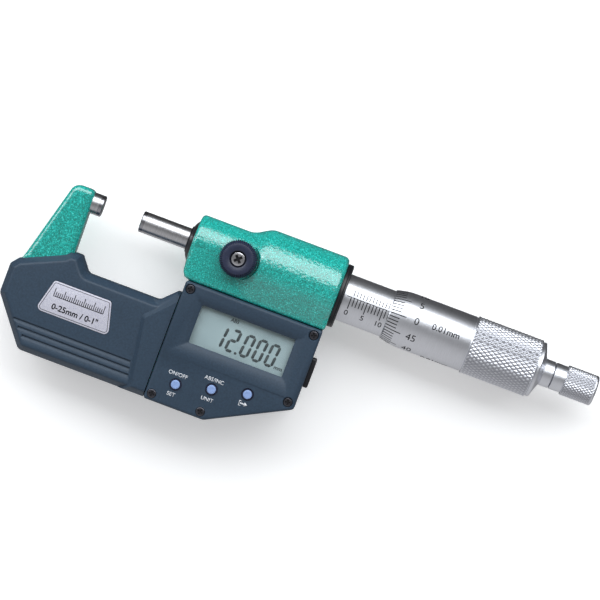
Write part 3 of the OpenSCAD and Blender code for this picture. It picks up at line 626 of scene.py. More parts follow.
def cross_screw(x, y, under, top, r, shank_r, tip, deep):
    """Screw at (x, y) with a domed head and a cross recess. The head faces away from the tip.

    The recess has material 1, for painted shade in the cross. The turn of its cross follows from the screw's
    place.
    """
    side = 1 if top > under else -1
    h = abs(top - under)
    edge = min(0.35, h / 2)
    profile = [(0, 0), (0, r - 0.05), (0.06, r), (h - edge, r)]
    profile += [(h - edge + edge * math.sin(a), r - 0.6 * edge * (1 - math.cos(a))) for a in (0.5, 1.0, 1.5)]
    profile += [(h, r * 0.55), (h, 0)]
    head = raw_object("screw", standing(profile, 0, 0, 40))
    arm_len, arm_w = r * 0.62, r * 0.62 * 0.30
    for w, d in ((arm_len, arm_w), (arm_w, arm_len)):
        rings = []
        for z, g in ((h - deep, -0.06), (h + 1, 0.1)):
            rings.append([(-w - g, -d - g, z), (w + g, -d - g, z), (w + g, d + g, z), (-w - g, d + g, z)])
        combine(head, loft(rings))
    # the faces of the cross recess take painted shade
    for face in head.data.polygons:
        c = face.center
        if h - deep - 0.01 < c.z < h - 0.02 and math.hypot(c.x, c.y) < arm_len * 1.1:
            face.material_index = 1
    mesh = taken(head)
    turn = Matrix.Rotation(math.radians(25 + 40 * x), 4, "Z")
    place = Matrix.Translation((x, y, under)) @ Matrix.Diagonal((1, side, side, 1)) @ turn
    bmesh.ops.transform(mesh, matrix=place, verts=mesh.verts)
    return merged([mesh, rod(x, y, min(tip, under), max(tip, under), shank_r, 24)])


cover_screws = []
for x, y in cover_screw_at:
    under, top = rear_z + HEAD_DEPTH, rear_z + 0.15
    cover_screws.append(cross_screw(x, y, under, top, COVER_HEAD_R, COVER_SCREW_R, cover_screws_high.z, 0.6))
# black in the screws' cross recesses is painted shade
piece("cover_screw_set", merged(cover_screws), "root", "black_steel", ["cover_screws"], inside=[BLACK])


# ---- frame casting

small_r = 8.5
large_r = stator_high.z + 2.5
barrel_l, barrel_end = seal_high.x, ring_low.x
web_low, web_top = -11.1, 8.3
swell = barrel_l + 14.9
lock_x = (knob_low.x + knob_high.x) / 2
QUARTER = (0, 0.26, 0.52, 0.79, 1.05, 1.31, math.pi / 2)


def barrel_radius(x):
    """Radius of the barrel: small over the lock, then a smooth swell over the encoder."""
    t = min(1, max(0, (x - swell) / 7.5))
    return small_r + (large_r - small_r) * (1 - math.cos(math.pi * t)) / 2


def barrel():
    """Solid barrel, rounded by r at its two ends."""
    profile, r = [(barrel_l, 0)], 1.2
    profile += [(barrel_l + r * (1 - math.cos(a)), small_r - r * (1 - math.sin(a))) for a in QUARTER]
    run = [barrel_l + 2 + (barrel_end - barrel_l - 3.6) * k / 60 for k in range(61)]
    profile += [(x, barrel_radius(x)) for x in run]
    r = 1.6
    profile += [(barrel_end - r * (1 - math.sin(a)), large_r - r * (1 - math.cos(a))) for a in QUARTER[1:]]
    profile += [(barrel_end, 0)]
    return lathe(profile, 160)


def web():
    """Block that joins the barrel to the display housing."""
    path = [
        (barrel_l + 0.4, 2, 1), (barrel_l + 0.4, web_low, 3),
        (barrel_end, web_low, 0.6), (barrel_end, 2, 1),
    ]
    return slab(path, low_edge(-web_top, 0.8) + high_edge(web_top, 0.8))


def skirt():
    """Flanks that run off the barrel at a tangent down to the outer edges of the web."""
    y, z = web_low + 0.5, web_top - 0.3
    reach, lean = math.hypot(y, z), math.atan2(-y, z)
    rings = []
    for k in range(61):
        x = barrel_l + 1.2 + (barrel_end - barrel_l - 2.4) * k / 60
        r = barrel_radius(x) - 0.05
        a = lean - math.acos(min(1, r / reach))
        touch = (-r * math.sin(a), r * math.cos(a))
        rings.append([(x, y, z), (x, *touch), (x, 0, 0), (x, touch[0], -touch[1]), (x, y, -z)])
    return loft(rings)


def arm():
    """The arm with its full rounded edges."""
    path = [
        (-3.5, 3.8, 1.6), (-10.1, 3.8, 2.8), (left + 2.6, throat - 2.8, 2.5),
        (left + 6, throat - 8, 2), (-2.9, throat - 4, 1),
    ]
    return slab(path, low_edge(-CAST_Z, 1.8, 7) + high_edge(CAST_Z, 1.8, 7), 10)


core = raw_object("core", flat_part(0, CAST_Z))
combine(core, block((-30, throat - 1, -9), (-2, 20, 9)))
casting = raw_object("casting", merged([arm(), barrel(), web(), skirt(), taken(core)]))
remesh = casting.modifiers.new("remesh", "REMESH")
remesh.mode = "VOXEL"
remesh.voxel_size = 0.3
relax = casting.modifiers.new("relax", "SMOOTH")
relax.factor = 0.5
relax.iterations = 8
applied(casting)


def carve(tool):
    """Cuts a solid from the casting. Its remeshed skin suits the faster solver."""
    combine(casting, tool, solver="MANIFOLD")


def bore(x0, x1, r):
    carve(lathe([(x0, 0), (x0, r), (x1, r), (x1, 0)], 96))


cavity_x = stator_low.x
bore(-9, 1, SPINDLE_R)
bore(barrel_l - 3, cavity_x + 1, SPINDLE_R + CLEAR)
bore(cavity_x, barrel_end + 2, stator_high.z + 0.5)
carve(rod(lock_x, 0, 0, BEYOND, 2 + CLEAR))
spot = [(small_r, 0), (small_r, 6.1), (small_r + 0.25, 6.35), (BEYOND, 6.35), (BEYOND, 0)]
carve(standing(spot, lock_x, 0, 96))
carve(block((right + 1.2, bottom, 3.8), (limb_end + 1, house_high.y, 6)))
carve(block((cavity_x, web_low - 1, 0.4), (cavity_x + 0.6, 0, 4.8)))
for x, y in cover_screw_at:
    carve(rod(x, y, -6, 6, COVER_SCREW_R + FIT))
finished(casting, "frame_casting", "root", "enamel", ["frame"], smooth=45)


# ---- display housing

h_left, h_right = house_low.x, house_high.x
h_bottom, h_top = house_low.y, house_high.y
crease = h_bottom + 15.1
housing_path = [
    (h_left, h_top, 0.8), (h_left, h_bottom, 0.8), (h_right - 24, h_bottom, 3),
    (h_right, h_bottom + 12.3, 1.6), (h_right, h_top, 0.8),
]
screw_at = [
    (h_left + 2, h_top - 2.1), (h_right - 2.1, h_top - 2.1), (h_right - 2.4, h_bottom + 13.8),
    (h_left + 2, h_bottom + 2.1), (h_right - 25.6, h_bottom + 2.1),
]
view_l, view_r = window_low.x + 1, window_high.x - 1
view_b, view_t = window_low.y + 1, window_high.y - 1
button_nodes = ["on_off_button", "abs_inc_button", "data_button"]
button_at = []
for node in button_nodes:
    low, high = box_mm(node)
    button_at.append(((low.x + high.x) / 2, (low.y + high.y) / 2))
ceiling = window_high.z


def frame_ring(z, gx, gy, r=0.5):
    """Ring round the window opening, grown sideways by gx and upwards by gy."""
    path = box_path(view_l - gx, view_b - gy, view_r + gx, view_t + gy, r)
    return [(x, y, z) for x, y in rounded(path, 5)]


def fall(y):
    """How far the front lies below its upper level at y: a small step, then a slope."""
    below = max(0, crease - y)
    return 0.18 * min(1, below / 0.4) + 0.52 * below / (crease - h_bottom)


def sloped(bm, top):
    """Lowers the part of the front below the crease, more towards the bottom edge."""
    for y in (crease, crease - 0.4, crease - 5, crease - 10):
        geom = bm.verts[:] + bm.edges[:] + bm.faces[:]
        bmesh.ops.bisect_plane(bm, geom=geom, plane_co=(0, y, 0), plane_no=(0, 1, 0))
    for v in bm.verts:
        if v.co.y < crease and v.co.z > top - 4:
            share = min(1, (v.co.z - top + 4) / 2.5)
            v.co.z -= share * fall(v.co.y)
    return bm


shell_top = house_high.z
ABOVE = 12        # just above the front
BOSS_R = 2.3      # round each housing screw
SEAT_Z, SILL_Z, WELL_Z, WELL_R = 8.9, 8.95, 9.2, 1.95
body_levels = [(house_low.z, 0.16), (house_low.z + 0.16, 0)] + high_edge(shell_top, 0.85, 6)
house = raw_object("house", sloped(slab(housing_path, body_levels, 10), shell_top))
hollow = raw_object("hollow", slab(grown(housing_path, -WALL), [(-1, 0), (ceiling, 0)]))
for x, y in screw_at:
    combine(hollow, rod(x, y, -2, ceiling + 1, BOSS_R))
combine(house, taken(hollow))
combine(house, flat_part(FIT, CAST_Z))
# the window's rim spreads from its sill to the front, and the cutter goes on above it
share = (shell_top + 0.4 - SILL_Z) / (shell_top - SILL_Z)
combine(house, loft([
    frame_ring(ceiling - 3, 0, 0), frame_ring(SILL_Z, 0, 0),
    frame_ring(shell_top + 0.4, 2.0 * share, 1.5 * share),
]))
for x, y in button_at:
    combine(house, rod(x, y, 0, ABOVE, BUTTON_R + FIT))
    well = [(WELL_Z, 0), (WELL_Z, 1.8), (9.75, WELL_R), (ABOVE, WELL_R), (ABOVE, 0)]
    combine(house, standing(well, x, y))
for x, y in screw_at:
    combine(house, rod(x, y, 0, ABOVE, 1.0))
    sink = [(SEAT_Z, 0), (SEAT_Z, 1.45), (9.6, 1.45), (10.3, 1.9), (ABOVE, 1.9), (ABOVE, 0)]
    combine(house, standing(sink, x, y))
port_y = (port_low.y + port_high.y) / 2
combine(house, block((h_right - 2, port_y - 3.8, 0.9), (h_right + 1, port_y + 3.8, 4.4)))
combine(house, block((cavity_x, h_top - 3, -1), (cavity_x + 0.6, h_top + 1, 4.6)))
finished(house, "display_shell", "root", "shell", ["display_housing"])

back_levels = low_edge(back_z, 1.3, 6) + [(back_high.z - 0.16, 0), (back_high.z, 0.16)]
tray = raw_object("tray", slab(housing_path, back_levels, 10))
cap_x, cap_y = (cap_low.x + cap_high.x) / 2, (cap_low.y + cap_high.y) / 2
cap_r = (cap_high.x - cap_low.x) / 2
cell_low, cell_high = box_mm("battery")
cell_r = (cell_high.x - cell_low.x) / 2
nest_r = cell_r + 1.1
hollow = raw_object("hollow", slab(grown(housing_path, -WALL), [(back_z + WALL, 0), (1, 0)]))
for x, y in screw_at:
    combine(hollow, rod(x, y, back_z, 2, BOSS_R))
combine(hollow, rod(cap_x, cap_y, back_z, cell_high.z, nest_r))
combine(tray, taken(hollow))
combine(tray, rod(cap_x, cap_y, back_z + 1, 1, cell_r + FIT))
combine(tray, standing([
    (back_z - 1, 0), (back_z - 1, cap_r + 0.6), (back_z + 0.35, cap_r + CLEAR),
    (cell_low.z + 0.5, cap_r + CLEAR), (cell_low.z + 0.5, 0),
], cap_x, cap_y, 96))
combine(tray, block((cap_x - 1.6, cap_y - nest_r - 1, cell_low.z + 1), (cap_x + 1.6, cap_y, 1)))
combine(tray, flat_part(FIT, CAST_Z))
for x, y in screw_at:
    combine(tray, rod(x, y, -8.1, 1, 0.9))
# a recessed panel and three shallow grip lines on the back
panel_l = h_left + 4
panel = box_path(panel_l, h_bottom + 9, panel_l + 18, h_top - 4, 1)
combine(tray, slab(panel, [(back_z - 1, -0.4), (back_z + 0.3, 0.1)]))
for i in range(3):
    y = h_bottom + 3.4 + 1.6 * i
    section = [(y - 0.4, -1), (y - 0.4, 0.02), (y, 0.4), (y + 0.4, 0.02), (y + 0.4, -1)]
    combine(tray, loft([[(x, a, back_z + b) for a, b in section] for x in (panel_l, panel_l + 11)]))
finished(tray, "display_tray", "root", "shell", ["rear_housing"])

housing_screws = [cross_screw(x, y, SEAT_Z, screws_high.z, 1.35, 0.9, screws_low.z, 0.4) for x, y in screw_at]
# black in the screws' cross recesses is painted shade
piece("housing_screw_set", merged(housing_screws), "root", "black_steel", ["housing_screws"], inside=[BLACK])

# rings in the bottoms of the button wells, near-black as painted shade in the recesses
wells = []
for x, y in button_at:
    wells.append(standing([
        (9.22, 1.47), (9.22, 1.86), (9.3, 1.92), (9.42, 1.9), (9.42, 1.55), (9.34, 1.47),
    ], x, y, wrap=True))
piece("button_well_shade", merged(wells), "root", "knob_plastic", material=WELL_SHADE)

for node, (x, y) in zip(button_nodes, button_at):
    low, high = box_mm(node)
    top = high.z
    profile = [(low.z, 0), (low.z, BUTTON_R), (ceiling - 0.75, BUTTON_R), (ceiling - 0.7, WELL_R)]
    profile += [(ceiling - 0.1, WELL_R), (ceiling - 0.1, BUTTON_R), (top - 0.3, BUTTON_R - 0.01)]
    profile += [(top - 0.3 + 0.3 * math.sin(a), BUTTON_R - 0.35 * (1 - math.cos(a))) for a in QUARTER[1:]]
    profile += [(top - 0.02, 0.6), (top - 0.06, 0.3), (top - 0.07, 0)]
    piece(node + "_cap", standing(profile, x, y), node, "button_plastic", [node])

# the port's rubber cover: a cushion with four grip slots, and the tongue that fills the port
cushion = [
    (port_low.y, port_low.z, 0.7), (port_high.y, port_low.z, 0.7),
    (port_high.y, port_high.z, 0.7), (port_low.y, port_high.z, 0.7),
]
out = port_high.x
cushion_levels = [(h_right + CLEAR, 0.12), (h_right + 0.2, 0), (out - 0.5, 0), (out - 0.18, 0.14)]
cushion_levels += [(out - 0.03, 0.4), (out, 0.75)]
plug = raw_object("plug", loft([
    [(x, a, b) for a, b in rounded(grown(cushion, -inset), 6)] for x, inset in cushion_levels
]))
for k in range(4):
    z = port_low.z + 1.1 + k * 0.97
    combine(plug, block((out - 0.22, port_low.y + 1.1, z - 0.14), (out + 1, port_high.y - 1.1, z + 0.14)))
combine(plug, block((port_low.x, port_y - 3.7, 1.0), (h_right + 0.3, port_y + 3.7, 4.3)), "UNION")
finished(plug, "port_plug", "port_cover", "rubber", ["port_cover"])

# the battery cap, with a ring round its face and a coin slot
foot = cap_low.z
lid = raw_object("lid", standing([
    (foot + 1.4, 0), (foot + 1.4, cap_r), (foot + 0.3, cap_r), (foot + 0.08, cap_r - 0.1),
    (foot, cap_r - 0.3), (foot, cap_r - 0.9), (foot + 0.12, cap_r - 1.0),
    (foot + 0.12, cap_r - 1.2), (foot, cap_r - 1.3), (foot, 0),
], cap_x, cap_y, 96))
coin = cap_r * 0.72
slot_path = box_path(cap_x - coin, cap_y - 0.8, cap_x + coin, cap_y + 0.8, 0.7)
combine(lid, slab(slot_path, [(foot - 1, -0.1), (foot + 0.75, 0.02)]))
finished(lid, "battery_lid", "battery_cap", "black_plastic", ["battery_cap"])


# ---- measuring line

def chamfered(x0, x1, r, edge0, edge1, n=96):
    """Rod about X with a chamfer at each end."""
    return lathe([(x0, 0), (x0, r - edge0), (x0 + edge0, r), (x1 - edge1, r), (x1, r - edge1), (x1, 0)], n)


anvil_low, anvil_high = box_mm("anvil")
anvil_rod = chamfered(anvil_low.x, anvil_high.x, SPINDLE_R, 0.1, 0.06)
piece("anvil_rod", anvil_rod, "root", "ground_steel", ["anvil"])
tip_r = SPINDLE_R - 0.02
piece("anvil_carbide", chamfered(anvil_high.x, 0, tip_r, 0.04, 0.2), "root", "carbide", ["anvil_tip"])
spindle_tip = chamfered(tip_low.x + SHORT, tip_high.x, tip_r, 0.2, 0.04)
piece("spindle_carbide", spindle_tip, "spindle", "carbide", ["spindle_tip"])

start, end = seal_low.x, seal_high.x
piece("wiper_seal", lathe([
    (start, SPINDLE_R + CLEAR), (start, SPINDLE_R + 0.55), (start + 0.1, SPINDLE_R + 0.7),
    (start + 0.45, SPINDLE_R + 1.0), (start + 0.55, SPINDLE_R + 1.5), (end - 0.2, 6.1),
    (end - 0.05, 6.28), (end, 6.3), (end, SPINDLE_R + CLEAR),
], 96, wrap=True), "root", "rubber", ["spindle_seal"])

ring_r = (ring_high.z - ring_low.z) / 2
sleeve_r = (sleeve_high.z - sleeve_low.z) / 2
sleeve_in = 6.45
start, end = ring_low.x, ring_high.x
piece("end_ring", lathe([
    (start, sleeve_r), (start, ring_r - 0.25), (start + 0.08, ring_r - 0.08), (start + 0.3, ring_r),
    (end - 0.9, ring_r), (end - 0.75, ring_r - 0.12), (end - 0.6, ring_r),
    (end - 0.4, ring_r), (end - 0.12, ring_r - 0.12), (end, ring_r - 0.4), (end, sleeve_r),
], 128, wrap=True), "root", "rubber", ["barrel_end_ring"])

start, end = sleeve_low.x, sleeve_high.x
piece("scale_sleeve", lathe([
    (start, sleeve_in), (start, sleeve_r), (end - 0.15, sleeve_r), (end, sleeve_r - 0.15), (end, sleeve_in),
], 160, wrap=True), "root", "satin_chrome", ["sleeve"])

edge_r = 7.52
drum_r = 8.5
knurl_deep, knurl_r = drum_r + 0.08, (thimble_high.z - thimble_low.z) / 2 - 0.02
taper = 6         # length of the thimble's graduated taper
thimble_x, thimble_end = thimble_low.x, thimble_high.x
grip_l = thimble_x + 25.6
grip_r_end = grip_l + 21.1
in_r = sleeve_r + 0.07
neck_r = neck_high.z
BOLT_R = 1.3
HUB_X, SEAT_X = 128, 134    # where the thimble grips the spindle's end


def thimble_radius(x):
    """Radius of the graduated end of the thimble."""
    t = min(1, max(0, (x - thimble_x) / taper))
    return edge_r + (drum_r - edge_r) * math.sin(math.pi / 2 * t)


def diamond(x, t, around, pitch):
    """Height of a diamond knurl, from 0 in the grooves to 1 on the points."""
    a, b = around * t / TAU + x / pitch, around * t / TAU - x / pitch
    return min(1 - abs(2 * (a % 1) - 1), 1 - abs(2 * (b % 1) - 1))


def grooved(obj, x0, x1, low, high):
    """Marks how deep each point of a knurl lies between its two radii, for the painted shade in its grooves.
    """
    mesh = obj.data
    depth = mesh.attributes.new("groove", "FLOAT", "POINT")
    for vertex, item in zip(mesh.vertices, depth.data):
        x, y, z = vertex.co / MM
        if x0 < x < x1:
            item.value = min(1, max(0, (high - math.hypot(y, z)) / (high - low)))


def grip_reach(x, t, r):
    """Radius of the thimble at x and angle t: knurled along the grip, r elsewhere."""
    if not grip_l + 0.3 <= x <= grip_r_end - 0.5 or r < drum_r:
        return r
    ends = max(0, min(1, (x - grip_l - 0.3) / 0.3, (grip_r_end - 0.5 - x) / 0.3))
    return knurl_deep + (knurl_r - knurl_deep) * (1 - ends + ends * diamond(x, t, 47, 2.1))


profile = [(thimble_x, in_r), (thimble_x, edge_r - 0.08), (thimble_x + 0.05, edge_r)]
profile += [(thimble_x + taper * k / 12, thimble_radius(thimble_x + taper * k / 12)) for k in range(1, 13)]
profile += [(grip_l - 0.35, drum_r), (grip_l - 0.2, drum_r - 0.12), (grip_l, drum_r - 0.12)]
profile += [(grip_l + 0.15, drum_r)]
profile += [(grip_l + 0.3 + 0.125 * k, drum_r + 0.1) for k in range(163)]
profile += [
    (grip_r_end - 0.35, drum_r), (grip_r_end - 0.2, drum_r - 0.15), (grip_r_end - 0.05, drum_r - 0.15),
    (grip_r_end + 0.1, drum_r), (grip_r_end + 0.55, drum_r - 0.02), (grip_r_end + 0.75, drum_r - 0.2),
    (thimble_end - 0.25, neck_r + 0.75), (thimble_end - 0.05, neck_r + 0.38), (thimble_end, neck_r + 0.25),
    (thimble_end, 3.2), (SEAT_X, 3.2), (SEAT_X, 3), (HUB_X, 3), (HUB_X, in_r),
]
drum = lathe(profile, 540, wrap=True, radius=grip_reach)
drum = piece("thimble_drum", drum, "spindle", "satin_chrome", ["thimble"], smooth=50)
grooved(drum, grip_l + 0.5, grip_r_end - 0.7, knurl_deep, knurl_r)

start, end, seat_r = neck_low.x, neck_high.x, 3.15
piece("ratchet_collar", lathe([
    (start, BOLT_R), (start, seat_r), (thimble_end + 0.02, seat_r), (thimble_end + 0.02, neck_r - 0.15),
    (thimble_end + 0.2, neck_r), (end - 0.2, neck_r), (end, neck_r - 0.2), (end, BOLT_R),
], 128, wrap=True), "spindle", "satin_chrome", ["ratchet_neck"])

end_r = (grip_high.z - grip_low.z) / 2
grip_start = grip_low.x + 3.6
FINE = 0.28       # depth of the ratchet knob's knurl
nose = 0.8        # rounding of its far end
SPRING_X = 150    # end of its hollow for the spring


def fine_reach(x, t, r):
    """Radius of the ratchet knob at x and angle t."""
    if r < end_r - 0.02 or not grip_start + 0.2 <= x <= grip_high.x - nose:
        return r
    return end_r - FINE + FINE * diamond(x, t, 32, 1.4)


start, end = grip_low.x, grip_high.x
profile = [(start, 3), (start, neck_r - 0.18), (start + 0.18, neck_r), (grip_start - 0.3, neck_r)]
profile += [(grip_start - 0.25, neck_r - 0.15), (grip_start - 0.02, neck_r - 0.15)]
profile += [(grip_start, neck_r + 0.1), (grip_start + 0.12, end_r - 0.12)]
profile += [(grip_start + 0.2 + 0.1 * k, end_r) for k in range(88)]
profile += [(end - nose + nose * math.sin(a), end_r - nose * (1 - math.cos(a))) for a in QUARTER[1:]]
profile += [(end, 2.75), (end - 0.15, 2.6), (end - 2.5, 2.6), (end - 2.5, 1.4)]
profile += [(SPRING_X, 1.4), (SPRING_X, 3)]
grip = lathe(profile, 440, wrap=True, radius=fine_reach)
grip = piece("ratchet_grip", grip, "ratchet", "satin_chrome", ["ratchet_knob"], smooth=50)
grooved(grip, grip_start + 0.2, end - nose, end_r - FINE, end_r)


# ---- lock

knob_r = (knob_high.x - knob_low.x) / 2
TEETH = 54


def serrated(x, t, r):
    """Serrations round the knob's rim, fading out over its edges."""
    share = min(1, max(0, (r - knob_r + 1.3) / 0.5))
    return r - 0.36 * share * (0.5 + 0.5 * math.cos(TEETH * t)) ** 0.7


foot, top = knob_low.z, knob_high.z
lock_seat = top - 1.8
profile = [(foot, 2), (foot, knob_r - 0.7), (foot + 0.3, knob_r - 0.3), (foot + 0.6, knob_r)]
profile += [(foot + 1.2, knob_r), (top - 1.3, knob_r), (top - 0.9, knob_r - 0.1)]
profile += [(top - 0.3, knob_r - 0.8), (top - 0.08, knob_r - 1.1), (top, knob_r - 1.5)]
profile += [(top, 2.75), (top - 0.2, 2.5), (lock_seat, 2.5), (lock_seat, 2)]
lock_grip = standing(profile, lock_x, 0, 600, wrap=True, radius=serrated)
piece("lock_grip", lock_grip, "lock", "knob_plastic", ["lock_knob"], smooth=40)
lock_screw = cross_screw(lock_x, 0, lock_seat, lock_seat + 1, 2.1, 1, lock_seat - 4, 0.8)
# black in the screw's cross recess is painted shade
piece("lock_cross_screw", lock_screw, "lock", "nickel", ["lock_screw"], inside=[BLACK])


# ---- markings

def letters(text, height, thick=0.03, weight=0.0):
    """Solid letters centred on the origin, upright along Y, from -thick to +thick along Z."""
    curve = bpy.data.curves.new("letters", "FONT")
    curve.body = text
    curve.size = height / 0.71
    curve.align_x = "CENTER"
    curve.extrude = thick
    curve.offset = weight
    curve.resolution_u = 4
    obj = bpy.data.objects.new("letters", curve)
    bpy.context.scene.collection.objects.link(obj)
    shaped = obj.evaluated_get(bpy.context.evaluated_depsgraph_get())
    mesh = bpy.data.meshes.new_from_object(shaped)
    bm = bmesh.new()
    bm.from_mesh(mesh)
    bpy.data.objects.remove(obj)
    bpy.data.curves.remove(curve)
    bpy.data.meshes.remove(mesh)
    bmesh.ops.remove_doubles(bm, verts=bm.verts, dist=1e-4)
    bmesh.ops.translate(bm, verts=bm.verts, vec=(0, -height / 2, 0))
    return bm


def level(z):
    """A flat surface at height z."""
    return lambda y: z


def laid(bm, x, y, surface):
    """Lays flat letters on a surface whose height is a function of y."""
    for v in bm.verts:
        v.co = (x + v.co.x, y + v.co.y, surface(y + v.co.y) + v.co.z)
    return bm


def bent(bm, x, angle, radius):
    """Bends flat letters round the spindle axis, upright in the direction of turning from +Z to +Y."""
    for k in range(-6, 7):
        geom = bm.verts[:] + bm.edges[:] + bm.faces[:]
        bmesh.ops.bisect_plane(bm, geom=geom, plane_co=(0, 0.3 * k, 0), plane_no=(0, 1, 0))
    for v in bm.verts:
        v.co = about_x(x + v.co.x, angle + v.co.y / radius, radius + v.co.z)
    return bm


# the four edges of a filled line: side, and height over the surface
LINE_EDGES = ((-1, -0.05), (1, -0.05), (1, 0.015), (-1, 0.015))


def line_along(x0, x1, angle, width, radius):
    """Filled line along the spindle axis on a turned surface."""
    rings = []
    for k in range(9):
        x = x0 + (x1 - x0) * k / 8
        r = radius(x)
        rings.append([about_x(x, angle + side * width / 2 / r, r + rise) for side, rise in LINE_EDGES])
    return loft(rings)


def line_round(x, t0, t1, r):
    """Filled tick round a cylinder at x."""
    rings = []
    for k in range(9):
        t = t0 + (t1 - t0) * k / 8
        rings.append([about_x(x + side * TICK_W / 2, t, r + rise) for side, rise in LINE_EDGES])
    return loft(rings)


# the sleeve's scale: millimetres on one side of the index line and halves on the other
TICK_W = 0.27
zero_x = ring_high.x + 2.25
zero_t = math.radians(8.1)
sleeve_marks = [line_along(ring_high.x + 0.8, sleeve_high.x - 0.5, zero_t, 0.17, lambda x: sleeve_r)]
for mm in range(26):
    x = zero_x + mm
    reach = math.radians(29 if mm % 5 == 0 else 20.5)
    sleeve_marks.append(line_round(x, zero_t - reach, zero_t, sleeve_r))
    if mm % 5 == 0:
        number = letters(str(mm), 1.75, weight=0.015)
        sleeve_marks.append(bent(number, x, zero_t - math.radians(39.5), sleeve_r))
    if mm < 25:
        near, far = zero_t + math.radians(4.8), zero_t + math.radians(18.5)
        sleeve_marks.append(line_round(x + 0.5, near, far, sleeve_r))
piece("sleeve_marks", merged(sleeve_marks), "root", "black_plastic", material=INK, smooth=180)

# the thimble's scale, one division for 0.01 mm, and its value four times round
DIVISIONS = 50
drum_marks = []
for k in range(DIVISIONS):
    t = zero_t + TAU * k / DIVISIONS
    end = thimble_x + (5.2 if k % 5 == 0 else 3.4)
    drum_marks.append(line_along(thimble_x + 0.12, end, t, 0.28, thimble_radius))
    if k % 5 == 0:
        drum_marks.append(bent(letters(str(k), 2.25), thimble_x + 8.5, t, drum_r))
for k in range(4):
    t = zero_t + math.radians(2 + 90 * k)
    drum_marks.append(bent(letters("0.01mm", 1.9, weight=0.02), thimble_x + 17.6, t, drum_r))
piece("thimble_marks", merged(drum_marks), "spindle", "black_plastic", material=INK, smooth=180)


def front_z(y):
    """Height of the housing's front at y."""
    return shell_top - fall(y)


# words over and under the first two buttons, and an arrow out of an open gate under the third
first, second, third = button_at
words = [
    ("ON/OFF", first, -0.3, 3.1), ("SET", first, -0.3, -3.1),
    ("ABS/INC", second, -0.15, 2.95), ("UNIT", second, -0.25, -3.15),
]
legends = []
for word, (x, y), right_by, up_by in words:
    legends.append(laid(letters(word, 1.15, weight=0.012), x + right_by, y + up_by, front_z))
arrow = [(-1.1, -0.2), (0.2, -0.2), (0.2, -0.65), (1.15, 0), (0.2, 0.65), (0.2, 0.2), (-1.1, 0.2)]
gate = [
    (-0.75, 0.8), (-1.5, 0.8), (-1.5, -0.8), (-0.75, -0.8),
    (-0.75, -0.62), (-1.3, -0.62), (-1.3, 0.62), (-0.75, 0.62),
]
for outline in (arrow, gate):
    sign = loft([[(x, y, z) for x, y in outline] for z in (-0.03, 0.03)])
    legends.append(laid(sign, third[0] - 0.1, third[1] - 3.1, front_z))
piece("button_legends", merged(legends), "root", "label", material=WHITE_INK, smooth=180)


# ---- display

SEGMENTS_OF = {"0": "abcdef", "1": "bc", "2": "abged"}
DIGIT_W, DIGIT_H, STROKE = 3.05, 7.2, 0.85
lcd_top = box_mm("lcd_panel")[1].z
SEGMENT_Z = (lcd_top - 0.05, lcd_top + 0.03)
digit_y = view_b + 1.3


def bar(p, q):
    """One display segment from p to q, with pointed ends."""
    p, q = Vector(p), Vector(q)
    u = (q - p).normalized()
    n = Vector((-u.y, u.x)) * STROKE / 2
    gap = u * 0.07
    p, q = p + gap, q - gap
    tip = u * STROKE / 2
    return [p, p + tip - n, q - tip - n, q, q - tip + n, p + tip + n]


def digit(mark, x):
    w, h, s = DIGIT_W, DIGIT_H, STROKE / 2
    ends = {
        "a": ((s, h - s), (w - s, h - s)), "b": ((w - s, h - s), (w - s, h / 2)),
        "c": ((w - s, h / 2), (w - s, s)), "d": ((s, s), (w - s, s)),
        "e": ((s, s), (s, h / 2)), "f": ((s, h / 2), (s, h - s)), "g": ((s, h / 2), (w - s, h / 2)),
    }
    parts = []
    for name in SEGMENTS_OF[mark]:
        points = bar(*ends[name])
        slant = [(x + p.x + p.y * math.tan(math.radians(6)), digit_y + p.y) for p in points]
        parts.append(loft([[(a, b, z) for a, b in slant] for z in SEGMENT_Z]))
    return parts


shown = digit("1", view_l + 6.3) + digit("2", view_l + 10.3)
for place in (14.8, 18.7, 22.6):
    shown += digit("0", view_l + place)
shown.append(rod(view_l + 14.0, digit_y + 0.4, *SEGMENT_Z, 0.42, 24))
sign_z = level(lcd_top + 0.02)
shown.append(laid(letters("ABS", 1.1, weight=0.03), view_l + 10.7, view_t - 1.15, sign_z))
shown.append(laid(letters("mm", 1.2, weight=0.03), view_r - 1.9, digit_y + 0.7, sign_z))
piece("display_digits", merged(shown), "root", "lcd", material=SEGMENTS, smooth=180)

pane = box_path(window_low.x, window_low.y, window_high.x, window_high.y, 0.6)
piece("display_pane", slab(pane, [
    (window_low.z, 0.08), (window_low.z + 0.08, 0), (window_high.z - 0.1, 0), (window_high.z - 0.02, 0.08),
]), "root", "clear", ["display_window"])

foil_z = label_high.z
plate_levels = [(label_low.z, 0), (foil_z - 0.1, 0), (foil_z - 0.03, 0.05), (foil_z, 0.14)]
piece("label_foil", slab(label_path, plate_levels, 10), "root", "label", ["label_plate"])
label_x, label_y = (label_low.x + label_high.x) / 2, (label_low.y + label_high.y) / 2


def printed(x, y0, y1, half):
    """Printed bar on the label, centred at x."""
    return block((x - half, y0, foil_z - 0.05), (x + half, y1, foil_z + 0.03))


